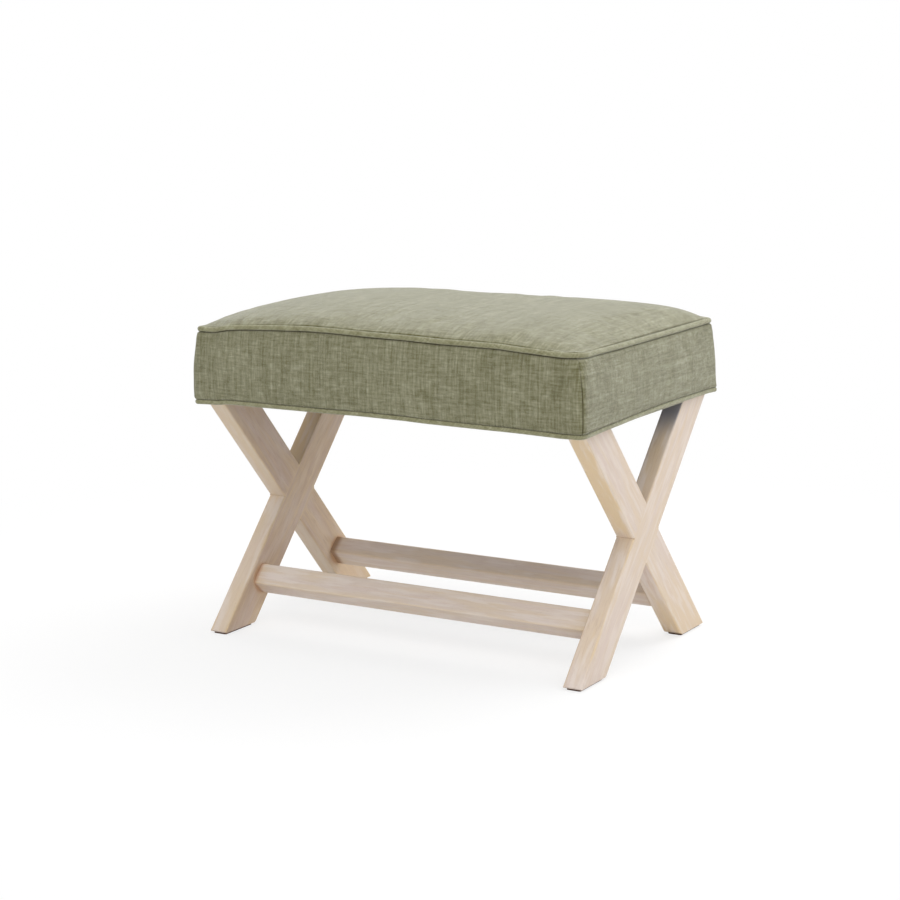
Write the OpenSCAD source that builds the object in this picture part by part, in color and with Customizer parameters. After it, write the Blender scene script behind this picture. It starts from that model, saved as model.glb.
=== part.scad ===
// Ottoman: a piped box cushion on two crossed-bar end frames joined by two stretchers.
// Millimetres. X runs along the length, the front is -Y, and the floor is z = 0.

/* [Overall size] */
// Length over the bottom piping
seat_length = 605; // [540:5:700]
// Depth over the bottom piping
seat_depth = 410; // [370:5:480]
// Floor to the top of the piping at a corner
corner_height = 440; // [400:5:500]
// Top of the top piping to the bottom of the bottom piping, at a corner
cushion_thickness = 110; // [100:1:130]

/* [Cushion form] */
// Rise of the padded top above its own edge
crown = 24; // [12:1:34]
// How far the long top edges arch up between the corners
top_arch = 9; // [0:0.5:12]
// How far the long bottom edges arch up between the corners
bottom_arch = 2; // [0:0.5:3]
// How far each end leans in from the bottom seam to the top seam
end_draw_in = 6; // [0:0.5:8]
// How far the front and the back lean in from the bottom seam to the top seam
side_draw_in = 2.5; // [0:0.5:6]
// Swell of the end bands at half height
end_bulge = 6.5; // [2:0.5:8]
// Swell of the front and back bands at half height
side_bulge = 5; // [2:0.5:8]
// Corner radius in plan at the bottom seam
bottom_corner_radius = 12; // [10:1:24]
// Corner radius in plan at the top seam
top_corner_radius = 18; // [16:1:40]
// Diameter of the piping
piping_diameter = 8; // [6:0.5:9]
// Thickness of the cover fabric
fabric_thickness = 1.5; // [1:0.1:2]
// Thickness of the wadding over the foam
wadding_thickness = 8; // [5:0.5:10]
// Thickness of the wadding where it is pulled thin at its bottom rim
wadding_rim = 2.5; // [1.5:0.1:3]

/* [Seat base] */
// Width of the base rails
rail_width = 45; // [40:1:55]
// Height of the base rails
rail_height = 30; // [26:1:34]
// Thickness of the plywood deck
deck_thickness = 9; // [6:0.5:12]
// Width of the cover hem turned in under the base
hem_width = 32; // [24:1:38]
// Thickness of the dust cover
dust_cover_thickness = 0.6; // [0.4:0.1:1]
// How far the dust cover stops short of the outside of the rails
dust_cover_inset = 14; // [8:1:20]

/* [Crossed frames] */
// Width of a leg bar, seen from the end of the ottoman
leg_width = 56; // [46:1:62]
// Thickness of a leg bar, along the ottoman
leg_thickness = 27; // [24:1:32]
// How far the centre of a foot stands in from the front or the back of the seat
foot_setback = 50; // [40:1:60]
// How far the centre of a leg's top stands in from the front or the back of the seat
top_setback = 55; // [50:1:65]
// Radius of the eased edges of the legs and stretchers
edge_radius = 2.5; // [1:0.5:4]
// Length of the ease cut under the toe of a foot
toe_run = 4; // [2:0.5:6]
// Height that the toe's ease cut rises in that length
toe_rise = 5; // [3:0.5:8]
// Length of the ease cut under the heel of a foot
heel_run = 4; // [2:0.5:6]
// Height that the heel's ease cut rises in that length
heel_rise = 2; // [1:0.5:3]

/* [Stretchers] */
// Height of a stretcher's centre above the floor
stretcher_height = 64; // [55:1:90]
// Size of a stretcher's section along the leg
stretcher_width = 33; // [28:1:40]
// Size of a stretcher's section across the leg
stretcher_depth = 28.5; // [24:0.5:34]
// Diameter of the wooden dowels
dowel_diameter = 8; // [6:0.5:10]
// Depth of a dowel in the leg
dowel_in_leg = 14; // [10:1:16]
// Depth of a dowel in the stretcher
dowel_in_stretcher = 18; // [14:1:26]
// Distance between the two dowels of a joint
dowel_spacing = 16; // [14:1:18]

/* [Foot pads] */
// Thickness of a foot pad
pad_thickness = 3; // [2:0.5:5]
// How far a pad stops short of the foot's toe and heel
pad_end_inset = 6; // [4:0.5:10]
// How far a pad stops short of the foot's sides
pad_side_inset = 3; // [1:0.5:5]
// Corner radius of a pad
pad_radius = 3; // [1:0.5:6]

/* [Leg bolts] */
// Diameter of the bolts that hold the legs to the base
bolt_diameter = 8; // [6:1:8]
// Length of a bolt under its head
bolt_length = 45; // [40:5:50]
// How far a bolt stands from the centre of the leg's top, towards the middle
bolt_offset = 21; // [16:1:24]
// Size of the bolt's hexagon head across its flats
bolt_head_width = 13; // [10:1:13]
// Height of the bolt's head
bolt_head_height = 5.3; // [4:0.1:6]
// Diameter of the washer
washer_diameter = 16; // [15:0.5:18]
// Thickness of the washer
washer_thickness = 1.6; // [1.2:0.1:2]
// Depth of the counterbore that sinks the bolt's head into the rail
counterbore_depth = 8; // [7.5:0.5:10]
// Outer diameter of the threaded insert in the leg
insert_diameter = 12; // [11:0.5:14]
// Length of the threaded insert
insert_length = 25; // [24:1:30]

/* [Wood screws] */
// Diameter of the screws in the base
screw_diameter = 4; // [3:0.5:5]
// Diameter of a screw's countersunk head
screw_head_diameter = 8; // [7:0.5:9]
// Length of the screws in the corner laps
corner_screw_length = 25; // [20:1:26]
// Length of the screws in the deck
deck_screw_length = 25; // [20:1:30]
// Distance between the two screws of a corner lap
corner_screw_spacing = 18; // [14:1:22]
// Deck screws along each long side
deck_screws_per_side = 4; // [2:1:6]

/* [Hidden] */

$fn = 48;

// Clearance between soft pieces, and between a screw, bolt or dowel and its hole
soft_gap = 0.3;
fit_gap = 0.05;
// Extra depth of a blind hole past the end of what sits in it
hole_relief = 1;
// Clearance round a leg where the hem and the dust cover are cut for it
leg_cut_gap = 3.5;
// How far a cut runs past the face that it opens
overrun = 2;

// Facets of the soft forms: along a long side, along an end, in half a corner and round the piping
side_steps = 10;
end_steps = 6;
half_corner_steps = 3;
piping_steps = 8;
// Heights of the rings up a band, as shares of the band
band_shares = [0, 0.25, 0.5, 0.75, 1];
// Sizes of the rings across the top, as shares of its edge
top_shares = [1, 0.98, 0.93, 0.82, 0.62, 0.34];
// Shape of the crown across the depth and along the length: power of the place, power of the fall
side_crown_powers = [2.3, 0.48];
end_crown_powers = [4.5, 0.36];

// Colours
linen_color = [0.58, 0.57, 0.45];
limed_wood_color = [0.84, 0.77, 0.69];
base_wood_color = [0.80, 0.66, 0.46];
plywood_color = [0.74, 0.60, 0.42];
foam_color = [0.93, 0.90, 0.74];
wadding_color = [0.95, 0.95, 0.94];
felt_color = [0.30, 0.20, 0.15];
steel_color = [0.70, 0.70, 0.72];
brass_color = [0.76, 0.62, 0.34];
dust_cover_color = [0.12, 0.12, 0.13];

// Seams of the cushion
piping_radius = piping_diameter / 2;
bottom_half = [seat_length / 2 - piping_radius, seat_depth / 2 - piping_radius];
top_half = bottom_half - [end_draw_in, side_draw_in];
bulge = [end_bulge, side_bulge];
top_piping_z = corner_height - piping_radius;
bottom_piping_z = corner_height - cushion_thickness + piping_radius;
seam_gap = piping_radius + soft_gap;
band_bottom_z = bottom_piping_z + seam_gap;
band_top_z = top_piping_z - seam_gap;
panel_half = top_half - [seam_gap, seam_gap];
wadding_inset = fabric_thickness + soft_gap;
foam_inset = wadding_inset + wadding_thickness + soft_gap;

// Seat base
hem_z = bottom_piping_z;
base_z = hem_z + fabric_thickness + soft_gap;
rail_inset = wadding_inset + wadding_rim + soft_gap;
rail_half = bottom_half - [rail_inset, rail_inset];
base_corner_radius = bottom_corner_radius - rail_inset;
rail_top_z = base_z + rail_height;
deck_top_z = rail_top_z + deck_thickness;
foam_start = (deck_top_z - band_bottom_z) / (band_top_z - foam_inset - band_bottom_z);

// Crossed frames
foot_spread = seat_depth - 2 * foot_setback;
top_spread = seat_depth - 2 * top_setback;
leg_outer_x = rail_half[0];
leg_center_x = leg_outer_x - leg_thickness / 2;
leg_inner_x = leg_outer_x - leg_thickness;
leg_rise = base_z - pad_thickness;
leg_angle = atan(leg_rise / ((foot_spread + top_spread) / 2));
cross_z = pad_thickness + leg_rise * foot_spread / (foot_spread + top_spread);
leg_length = leg_rise / sin(leg_angle) + leg_width * 2;
foot_half = leg_width / 2 / sin(leg_angle);
lap_reach = 2 * leg_width;
stretcher_y = (cross_z - stretcher_height) / tan(leg_angle);
bolt_y = top_spread / 2 - bolt_offset;

function mix(a, b, t) = a + (b - a) * t;

// The outline of the cushion is a rounded rectangle, read from the middle of one corner to the next.
// Side 0 is the front, 1 the right end, 2 the back and 3 the left end.
corner_signs = [[-1, -1], [1, -1], [1, 1], [-1, 1]];

function corner_center(k, half, r) = [
    corner_signs[k % 4][0] * (half[0] - r),
    corner_signs[k % 4][1] * (half[1] - r)
];

function on_arc(center, r, angle) = center + r * [cos(angle), sin(angle)];

function side_run(k, half, r) =
    let (
        start = corner_center(k, half, r),
        end = corner_center(k + 1, half, r),
        facing = 90 * k - 90,
        steps = k % 2 == 0 ? side_steps : end_steps
    )
    concat(
        [for (i = [0:half_corner_steps - 1]) on_arc(start, r, facing - 45 + 45 * i / half_corner_steps)],
        [for (i = [0:steps]) mix(on_arc(start, r, facing), on_arc(end, r, facing), i / steps)],
        [for (i = [1:half_corner_steps]) on_arc(end, r, facing + 45 * i / half_corner_steps)]
    );

function without_last(points) = [for (i = [0:len(points) - 2]) points[i]];

function outline(half, r) = [for (k = [0:3]) each without_last(side_run(k, half, r))];

outline_count = 2 * (side_steps + end_steps) + 8 * half_corner_steps;

// Height of an arched seam at x, where half_x is the seam's half length
function arched(corner_z, arch, x, half_x) = corner_z + arch * (1 - pow(x / half_x, 2));

// Share of the full swell at each ring of a band, and between the rings
swell_shares = [for (t = band_shares) [t, 4 * t * (1 - t)]];

// Half sizes and corner radius of the band at a share t of its height, drawn in by an inset
function band_half(t, inset) =
    mix(bottom_half, top_half, t) + bulge * lookup(t, swell_shares) - [inset, inset];

function band_radius(t, inset) = mix(bottom_corner_radius, top_corner_radius, t) - inset;

function band_points(plan, t, half, drop) = [
    for (p = plan)
        [p[0], p[1], mix(arched(band_bottom_z, bottom_arch, p[0], half[0]),
                         arched(band_top_z - drop, top_arch, p[0], half[0]), t)]
];

function band_ring(t, inset, drop) =
    let (half = band_half(t, inset))
    band_points(outline(half, band_radius(t, inset)), t, half, drop);

function band_side(k, t, inset) =
    let (half = band_half(t, inset))
    band_points(side_run(k, half, band_radius(t, inset)), t, half, 0);

// The crown falls from 1 at the centre to 0 at the edge, faster across the depth than along the length
function crown_fall(share, end_weight) =
    let (powers = mix(side_crown_powers, end_crown_powers, end_weight))
    pow(1 - pow(share, powers[0]), powers[1]);

function top_ring(share, inset) =
    let (half = panel_half - [inset, inset], plan = outline(half, top_corner_radius - seam_gap - inset))
    [
        for (p = plan)
            let (end_weight = (1 + pow(p[0] / half[0], 4) - pow(p[1] / half[1], 4)) / 2)
                [share * p[0], share * p[1],
                 arched(top_piping_z, top_arch, share * p[0], half[0]) - inset
                     + crown * crown_fall(share, end_weight)]
    ];

function top_center(inset) = [0, 0, top_piping_z + top_arch - inset + crown];

// Faces between two rings of the same count, the second above or inside the first
function ring_faces(first, second, count) = [
    for (i = [0:count - 1])
        let (next = (i + 1) % count)
            each [[first + i, second + i, second + next], [first + i, second + next, first + next]]
];

function fan_faces(ring, tip, count) = [for (i = [0:count - 1]) [ring + i, tip, ring + (i + 1) % count]];

function flipped(faces) = [for (f = faces) [f[2], f[1], f[0]]];

// A dome from rings that run up and inwards to one tip
function dome_faces(rings, count) = concat(
    [for (k = [0:rings - 2]) each ring_faces(k * count, (k + 1) * count, count)],
    fan_faces((rings - 1) * count, rings * count, count)
);

function shifted(faces, offset) = [for (f = faces) [for (i = f) i + offset]];

function joined(lists) = [for (l = lists) each l];

// A skin between an outer and an inner dome that share their rim
module dome_shell(outer, outer_tip, inner, inner_tip, count) {
    rings = len(outer);
    inner_start = rings * count + 1;
    polyhedron(
        concat(joined(outer), [outer_tip], joined(inner), [inner_tip]),
        concat(
            dome_faces(rings, count),
            flipped(shifted(dome_faces(rings, count), inner_start)),
            ring_faces(inner_start, 0, count)
        )
    );
}

// A dome closed by a flat bottom
module dome_solid(rings, tip, bottom_center, count) {
    n = len(rings);
    polyhedron(
        concat(joined(rings), [tip], [bottom_center]),
        concat(dome_faces(n, count), flipped(fan_faces(0, n * count + 1, count)))
    );
}

// A curved sheet between an outer and an inner grid of points, row by row upwards
module curved_sheet(outer, inner) {
    rows = len(outer);
    columns = len(outer[0]);
    inner_start = rows * columns;
    function quad(a, b, c, d) = [[a, b, c], [a, c, d]];
    function at(row, column) = row * columns + column;
    faces = [
        for (r = [0:rows - 2], c = [0:columns - 2])
            each quad(at(r, c), at(r + 1, c), at(r + 1, c + 1), at(r, c + 1))
    ];
    bottom_rim = [
        for (c = [0:columns - 2])
            each quad(at(0, c), at(0, c + 1), inner_start + at(0, c + 1), inner_start + at(0, c))
    ];
    top_rim = [
        for (c = [0:columns - 2])
            each quad(at(rows - 1, c), inner_start + at(rows - 1, c),
                      inner_start + at(rows - 1, c + 1), at(rows - 1, c + 1))
    ];
    start_end = [
        for (r = [0:rows - 2])
            each quad(at(r, 0), inner_start + at(r, 0), inner_start + at(r + 1, 0), at(r + 1, 0))
    ];
    far_end = [
        for (r = [0:rows - 2])
            each quad(at(r, columns - 1), at(r + 1, columns - 1),
                      inner_start + at(r + 1, columns - 1), inner_start + at(r, columns - 1))
    ];
    polyhedron(
        concat(joined(outer), joined(inner)),
        concat(faces, flipped(shifted(faces, inner_start)), bottom_rim, top_rim, start_end, far_end)
    );
}

// A round cord that follows the cushion's outline
module piping(half, radius, z, arch) {
    rings = [
        for (k = [0:piping_steps - 1])
            let (
                angle = 360 * k / piping_steps,
                out = piping_radius * cos(angle),
                ring_half = half + [out, out]
            )
            [for (p = outline(ring_half, radius + out))
                [p[0], p[1], arched(z, arch, p[0], ring_half[0]) + piping_radius * sin(angle)]]
    ];
    polyhedron(
        joined(rings),
        [
            for (k = [0:piping_steps - 1])
                each ring_faces(k * outline_count, (k + 1) % piping_steps * outline_count, outline_count)
        ]
    );
}

module band(k) {
    curved_sheet(
        [for (t = band_shares) band_side(k, t, 0)],
        [for (t = band_shares) band_side(k, t, fabric_thickness)]
    );
}

// A rectangle with round corners, centred
module rounded_rectangle(width, height, r) {
    square([width - 2 * r, height], center = true);
    square([width, height - 2 * r], center = true);
    for (sx = [-1, 1], sy = [-1, 1])
        translate([sx * (width / 2 - r), sy * (height / 2 - r)]) circle(r);
}

// A drawing in y and z, extruded along x from x0 to x1
module extruded_x(x0, x1) {
    translate([x0, 0, 0]) rotate([90, 0, 90]) linear_extrude(x1 - x0) children();
}

// A round rod or hole along x or down z
module round_x(x0, x1, diameter) {
    translate([x0, 0, 0]) rotate([0, 90, 0]) cylinder(d = diameter, h = x1 - x0);
}

module round_z(z0, z1, diameter) {
    translate([0, 0, z0]) cylinder(d = diameter, h = z1 - z0);
}

// Sets a drawing of a bar's section along the bar whose foot is at the front, centred on the crossing
module along_bar(length) {
    translate([0, 0, cross_z]) rotate([leg_angle - 90, 0, 0])
        linear_extrude(length, center = true) children();
}

// The part of a square-edged bar, from x0 to x1, near the crossing
module bar_strip(x0, x1, length) {
    along_bar(length)
        translate([x0, -leg_width / 2]) square([x1 - x0, leg_width]);
}

// Side view of the space that a leg is cut to: flat top, flat foot with an eased toe and heel.
// The toe points away from the middle.
module leg_bounds() {
    toe_y = -foot_spread / 2 - foot_half;
    heel_y = -foot_spread / 2 + foot_half;
    top_reach = top_spread / 2 + foot_half + overrun;
    polygon([
        [toe_y + toe_run, pad_thickness],
        [heel_y - heel_run, pad_thickness],
        [heel_y + heel_run, pad_thickness + heel_rise * 2],
        [top_reach, pad_thickness + heel_rise * 2],
        [top_reach, base_z],
        [toe_y, base_z],
        [toe_y, pad_thickness + toe_rise]
    ]);
}

// Places of the dowels of one stretcher end, in y and z, for the front stretcher
module at_dowels() {
    for (s = [-1, 1])
        translate([0, -stretcher_y + s * dowel_spacing / 2 * cos(leg_angle),
                   stretcher_height + s * dowel_spacing / 2 * sin(leg_angle)])
            children();
}

// A leg bar whose foot is at the front, with its outer face at the frame's outer x.
// end is -1 for the left frame and 1 for the right one, and lap is 1 if it keeps the half towards +X.
module leg_bar(end, lap) {
    x = end * leg_center_x;
    half = leg_thickness / 2;
    difference() {
        union() {
            intersection() {
                along_bar(leg_length)
                    translate([x, 0]) rounded_rectangle(leg_thickness, leg_width, edge_radius);
                extruded_x(x - leg_thickness, x + leg_thickness) leg_bounds();
            }
            intersection() {
                bar_strip(x + min(lap, 0) * half, x + max(lap, 0) * half, lap_reach);
                mirror([0, 1, 0]) bar_strip(x - leg_thickness, x + leg_thickness, lap_reach);
            }
        }
        mirror([0, 1, 0])
            bar_strip(x - max(lap, 0) * leg_thickness, x - min(lap, 0) * leg_thickness, lap_reach);
        at_dowels()
            round_x(
                end > 0 ? leg_inner_x - overrun : -leg_inner_x - dowel_in_leg - hole_relief,
                end > 0 ? leg_inner_x + dowel_in_leg + hole_relief : -leg_inner_x + overrun,
                dowel_diameter + 2 * fit_gap
            );
        translate([x, bolt_y, 0])
            round_z(base_z - insert_length - hole_relief, base_z + overrun, insert_diameter + 2 * fit_gap);
    }
}

module leg(end, front) {
    color(limed_wood_color)
        if (front) leg_bar(end, 1);
        else mirror([0, 1, 0]) leg_bar(end, -1);
}

module left_front_leg() { leg(-1, true); }

module left_back_leg() { leg(-1, false); }

module right_front_leg() { leg(1, true); }

module right_back_leg() { leg(1, false); }

module stretcher() {
    color(limed_wood_color)
        difference() {
            extruded_x(-leg_inner_x, leg_inner_x)
                translate([-stretcher_y, stretcher_height]) rotate(leg_angle)
                    rounded_rectangle(stretcher_width, stretcher_depth, edge_radius);
            at_dowels() {
                round_x(-leg_inner_x - overrun, -leg_inner_x + dowel_in_stretcher + hole_relief,
                        dowel_diameter + 2 * fit_gap);
                round_x(leg_inner_x - dowel_in_stretcher - hole_relief, leg_inner_x + overrun,
                        dowel_diameter + 2 * fit_gap);
            }
        }
}

module front_stretcher() { stretcher(); }

module back_stretcher() { mirror([0, 1, 0]) stretcher(); }

module stretcher_dowels() {
    color(base_wood_color)
        for (side = [0, 1])
            mirror([0, side, 0])
                at_dowels() {
                    round_x(-leg_inner_x - dowel_in_leg, -leg_inner_x + dowel_in_stretcher, dowel_diameter);
                    round_x(leg_inner_x - dowel_in_stretcher, leg_inner_x + dowel_in_leg, dowel_diameter);
                }
}

module foot_pad(end, front) {
    color(felt_color)
        translate([end * leg_center_x, front ? -foot_spread / 2 : foot_spread / 2, 0])
            linear_extrude(pad_thickness)
                rounded_rectangle(
                    leg_thickness - 2 * pad_side_inset,
                    2 * (foot_half - pad_end_inset),
                    pad_radius
                );
}

module left_front_foot_pad() { foot_pad(-1, true); }

module left_back_foot_pad() { foot_pad(-1, false); }

module right_front_foot_pad() { foot_pad(1, true); }

module right_back_foot_pad() { foot_pad(1, false); }

// The four places where a leg is bolted to the base
module at_bolts() {
    for (sx = [-1, 1], sy = [-1, 1])
        translate([sx * leg_center_x, sy * bolt_y, 0]) children();
}

washer_z = rail_top_z - counterbore_depth;
bolt_head_z = washer_z + washer_thickness;

module leg_inserts() {
    color(brass_color)
        at_bolts()
            difference() {
                round_z(base_z - insert_length, base_z, insert_diameter);
                round_z(base_z - insert_length - overrun, base_z + overrun, bolt_diameter + 2 * fit_gap);
            }
}

module leg_bolts() {
    color(steel_color)
        at_bolts() {
            round_z(bolt_head_z - bolt_length, bolt_head_z, bolt_diameter);
            translate([0, 0, bolt_head_z])
                cylinder(d = bolt_head_width / cos(30), h = bolt_head_height, $fn = 6);
        }
}

module bolt_washers() {
    color(steel_color)
        at_bolts()
            difference() {
                round_z(washer_z, bolt_head_z, washer_diameter);
                round_z(washer_z - overrun, bolt_head_z + overrun, bolt_diameter + 2 * fit_gap);
            }
}

// A countersunk screw, or the hole for it when gap is the clearance all round; its top is at z
module screw(z, length, gap) {
    head_depth = (screw_head_diameter - screw_diameter) / 2;
    r = screw_diameter / 2 + gap;
    head_r = screw_head_diameter / 2 + gap;
    translate([0, 0, z])
        rotate_extrude()
            polygon([[0, 0], [head_r, 0], [r, -head_depth], [r, -length - gap], [0, -length - gap]]);
}

// The two screws of each corner lap
module at_corner_screws() {
    for (sx = [-1, 1], sy = [-1, 1], s = [-1, 1])
        translate([sx * (rail_half[0] - rail_width / 2 + s * corner_screw_spacing / 2),
                   sy * (rail_half[1] - rail_width / 2 + s * corner_screw_spacing / 2), 0])
            children();
}

// The deck's screws stand over the middle of the long rails, between the corner laps
module at_deck_screws() {
    reach = rail_half[0] - 2 * rail_width;
    for (sy = [-1, 1], i = [0:deck_screws_per_side - 1])
        translate([mix(-reach, reach, i / (deck_screws_per_side - 1)),
                   sy * (rail_half[1] - rail_width / 2), 0])
            children();
}

module corner_screws() {
    color(steel_color) at_corner_screws() screw(rail_top_z, corner_screw_length, 0);
}

module deck_screws() {
    color(steel_color) at_deck_screws() screw(deck_top_z, deck_screw_length, 0);
}

// The base is cut to the inside of the cover, with its round corners
module base_outline(z, height) {
    translate([0, 0, z])
        linear_extrude(height)
            rounded_rectangle(2 * rail_half[0], 2 * rail_half[1], base_corner_radius);
}

// A box that takes away one corner of the base, from z up, to a height
module lap_cut(sx, sy, z, height) {
    size = rail_width + overrun;
    translate([sx * (rail_half[0] - rail_width), sy * (rail_half[1] - rail_width), z])
        mirror([sx < 0 ? 1 : 0, 0, 0]) mirror([0, sy < 0 ? 1 : 0, 0])
            cube([size, size, height]);
}

// At a corner the long rails keep their upper half and the end rails their lower half
module long_rail() {
    color(base_wood_color)
        difference() {
            intersection() {
                base_outline(base_z, rail_height);
                translate([-rail_half[0] - overrun, -rail_half[1] - overrun, base_z])
                    cube([2 * (rail_half[0] + overrun), rail_width + overrun, rail_height]);
            }
            for (sx = [-1, 1])
                lap_cut(sx, -1, base_z - overrun, rail_height / 2 + overrun);
            at_corner_screws() screw(rail_top_z, corner_screw_length, fit_gap);
            at_deck_screws() screw(deck_top_z, deck_screw_length, fit_gap);
        }
}

module front_rail() { long_rail(); }

module back_rail() { mirror([0, 1, 0]) long_rail(); }

module end_rail() {
    color(base_wood_color)
        difference() {
            intersection() {
                base_outline(base_z, rail_height);
                translate([rail_half[0] - rail_width, -rail_half[1] - overrun, base_z])
                    cube([rail_width + overrun, 2 * (rail_half[1] + overrun), rail_height]);
            }
            for (sy = [-1, 1])
                lap_cut(1, sy, base_z + rail_height / 2, rail_height / 2 + overrun);
            at_corner_screws() screw(rail_top_z, corner_screw_length, fit_gap);
            at_bolts() {
                round_z(base_z - overrun, rail_top_z, bolt_diameter + 2 * fit_gap);
                round_z(washer_z, rail_top_z + overrun, washer_diameter + 2 * hole_relief);
            }
        }
}

module right_rail() { end_rail(); }

module left_rail() { mirror([1, 0, 0]) end_rail(); }

module deck() {
    color(plywood_color)
        difference() {
            base_outline(rail_top_z, deck_thickness);
            at_deck_screws() screw(deck_top_z, deck_screw_length, fit_gap);
        }
}

// The foam keeps inside the wadding, whose thickness grows from its rim to the top seam
function wadding_at(t) = mix(wadding_rim, wadding_thickness, t);

function foam_ring(t) = band_ring(t, wadding_inset + wadding_at(t) + soft_gap, foam_inset);

module foam() {
    foot_ring = [for (p = foam_ring(foam_start)) [p[0], p[1], deck_top_z]];
    color(foam_color)
        dome_solid(
            concat(
                [foot_ring],
                [for (t = band_shares) if (t > foam_start) foam_ring(t)],
                [for (share = top_shares) top_ring(share, foam_inset)]
            ),
            top_center(foam_inset), [0, 0, deck_top_z], outline_count
        );
}

module wadding() {
    inner = wadding_inset + wadding_thickness;
    color(wadding_color)
        dome_shell(
            concat([for (t = band_shares) band_ring(t, wadding_inset, wadding_inset)],
                   [for (share = top_shares) top_ring(share, wadding_inset)]),
            top_center(wadding_inset),
            concat([for (t = band_shares) band_ring(t, wadding_inset + wadding_at(t), inner)],
                   [for (share = top_shares) top_ring(share, inner)]),
            top_center(inner), outline_count
        );
}

module front_band() { color(linen_color) band(0); }

module right_band() { color(linen_color) band(1); }

module back_band() { color(linen_color) band(2); }

module left_band() { color(linen_color) band(3); }

module top_panel() {
    color(linen_color)
        dome_shell(
            [for (share = top_shares) top_ring(share, 0)], top_center(0),
            [for (share = top_shares) top_ring(share, fabric_thickness)], top_center(fabric_thickness),
            outline_count
        );
}

module top_piping() {
    color(linen_color) piping(top_half, top_corner_radius, top_piping_z, top_arch);
}

module bottom_piping() {
    color(linen_color) piping(bottom_half, bottom_corner_radius, bottom_piping_z, bottom_arch);
}

// The tops of the legs, where the hem and the dust cover are cut away
module at_leg_tops(gap) {
    for (sx = [-1, 1], sy = [-1, 1])
        translate([sx * leg_center_x, sy * top_spread / 2])
            square([leg_thickness + 2 * gap, 2 * (foot_half + gap)], center = true);
}

module cover_hem() {
    hem_half = bottom_half - [seam_gap, seam_gap];
    color(linen_color)
        translate([0, 0, hem_z])
            linear_extrude(fabric_thickness)
                difference() {
                    rounded_rectangle(2 * hem_half[0], 2 * hem_half[1], bottom_corner_radius - seam_gap);
                    square(2 * (hem_half - [hem_width, hem_width]), center = true);
                    at_leg_tops(leg_cut_gap);
                }
}

module dust_cover() {
    color(dust_cover_color)
        translate([0, 0, hem_z - soft_gap - dust_cover_thickness])
            linear_extrude(dust_cover_thickness)
                difference() {
                    square(2 * (rail_half - [dust_cover_inset, dust_cover_inset]), center = true);
                    at_leg_tops(leg_cut_gap);
                }
}

left_front_leg();
left_back_leg();
right_front_leg();
right_back_leg();
front_stretcher();
back_stretcher();
stretcher_dowels();
left_front_foot_pad();
left_back_foot_pad();
right_front_foot_pad();
right_back_foot_pad();
leg_inserts();
leg_bolts();
bolt_washers();
front_rail();
back_rail();
left_rail();
right_rail();
corner_screws();
deck();
deck_screws();
foam();
wadding();
front_band();
right_band();
back_band();
left_band();
top_panel();
top_piping();
bottom_piping();
cover_hem();
dust_cover();
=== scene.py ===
"""Ottoman: the looks of a piped box cushion on crossed-bar end frames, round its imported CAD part."""
import math

import bmesh
import bpy
import numpy as np
from mathutils import Matrix, Vector


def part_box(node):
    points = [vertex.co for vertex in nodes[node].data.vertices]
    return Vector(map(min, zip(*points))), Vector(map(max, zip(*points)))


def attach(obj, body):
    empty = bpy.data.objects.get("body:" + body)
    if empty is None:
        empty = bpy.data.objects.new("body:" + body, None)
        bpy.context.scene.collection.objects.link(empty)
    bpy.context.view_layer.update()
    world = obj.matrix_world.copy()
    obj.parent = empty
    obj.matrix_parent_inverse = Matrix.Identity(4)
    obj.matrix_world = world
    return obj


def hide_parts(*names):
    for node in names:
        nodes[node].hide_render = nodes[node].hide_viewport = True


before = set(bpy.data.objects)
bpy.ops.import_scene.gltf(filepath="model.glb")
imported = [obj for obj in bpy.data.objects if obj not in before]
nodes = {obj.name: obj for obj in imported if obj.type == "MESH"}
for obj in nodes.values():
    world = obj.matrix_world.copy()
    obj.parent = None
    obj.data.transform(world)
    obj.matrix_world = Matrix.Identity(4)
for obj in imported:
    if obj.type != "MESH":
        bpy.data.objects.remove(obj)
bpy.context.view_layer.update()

MM = 0.001
rng = np.random.default_rng(7)

# Sizes of the part, in metres: X along the length, the front at -Y
TOP_HALF = np.array([0.2925, 0.1985])
BOTTOM_HALF = np.array([0.2985, 0.2010])
TOP_PIPING_Z = 0.4369
TOP_PIPING_R = 0.0038
BOTTOM_PIPING_Z = 0.3349
BOTTOM_PIPING_R = 0.0034
DECK_TOP_Z = 0.3748
BASE_HALF = np.array([0.2939, 0.1964])
BASE_RADII = np.full(4, 0.0080)
BAR_WIDTH = 0.056
BAR_THICKNESS = 0.027
BAR_CENTRE_X = 0.2804
BAR_INNER_X = 0.2669
BAR_ANGLE = math.atan2(0.3328, 0.305)
CROSS_Z = 0.17214
STRETCHER_Z = 0.064
STRETCHER_Y = (CROSS_Z - STRETCHER_Z) / math.tan(BAR_ANGLE)
STRETCHER_DOWN = (CROSS_Z - STRETCHER_Z) / math.sin(BAR_ANGLE)
STRETCHER_SIZE = (0.033, 0.0285)
HEM_Z = 0.3340
HEM_WIDTH = 0.032
FABRIC = 0.0015


def srgb(r, g, b):
    """A colour read from 0 to 255, as the linear colour that a shader takes."""
    def linear(c):
        c /= 255
        return c / 12.92 if c <= 0.04045 else ((c + 0.055) / 1.055) ** 2.4
    return (linear(r), linear(g), linear(b), 1.0)


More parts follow.
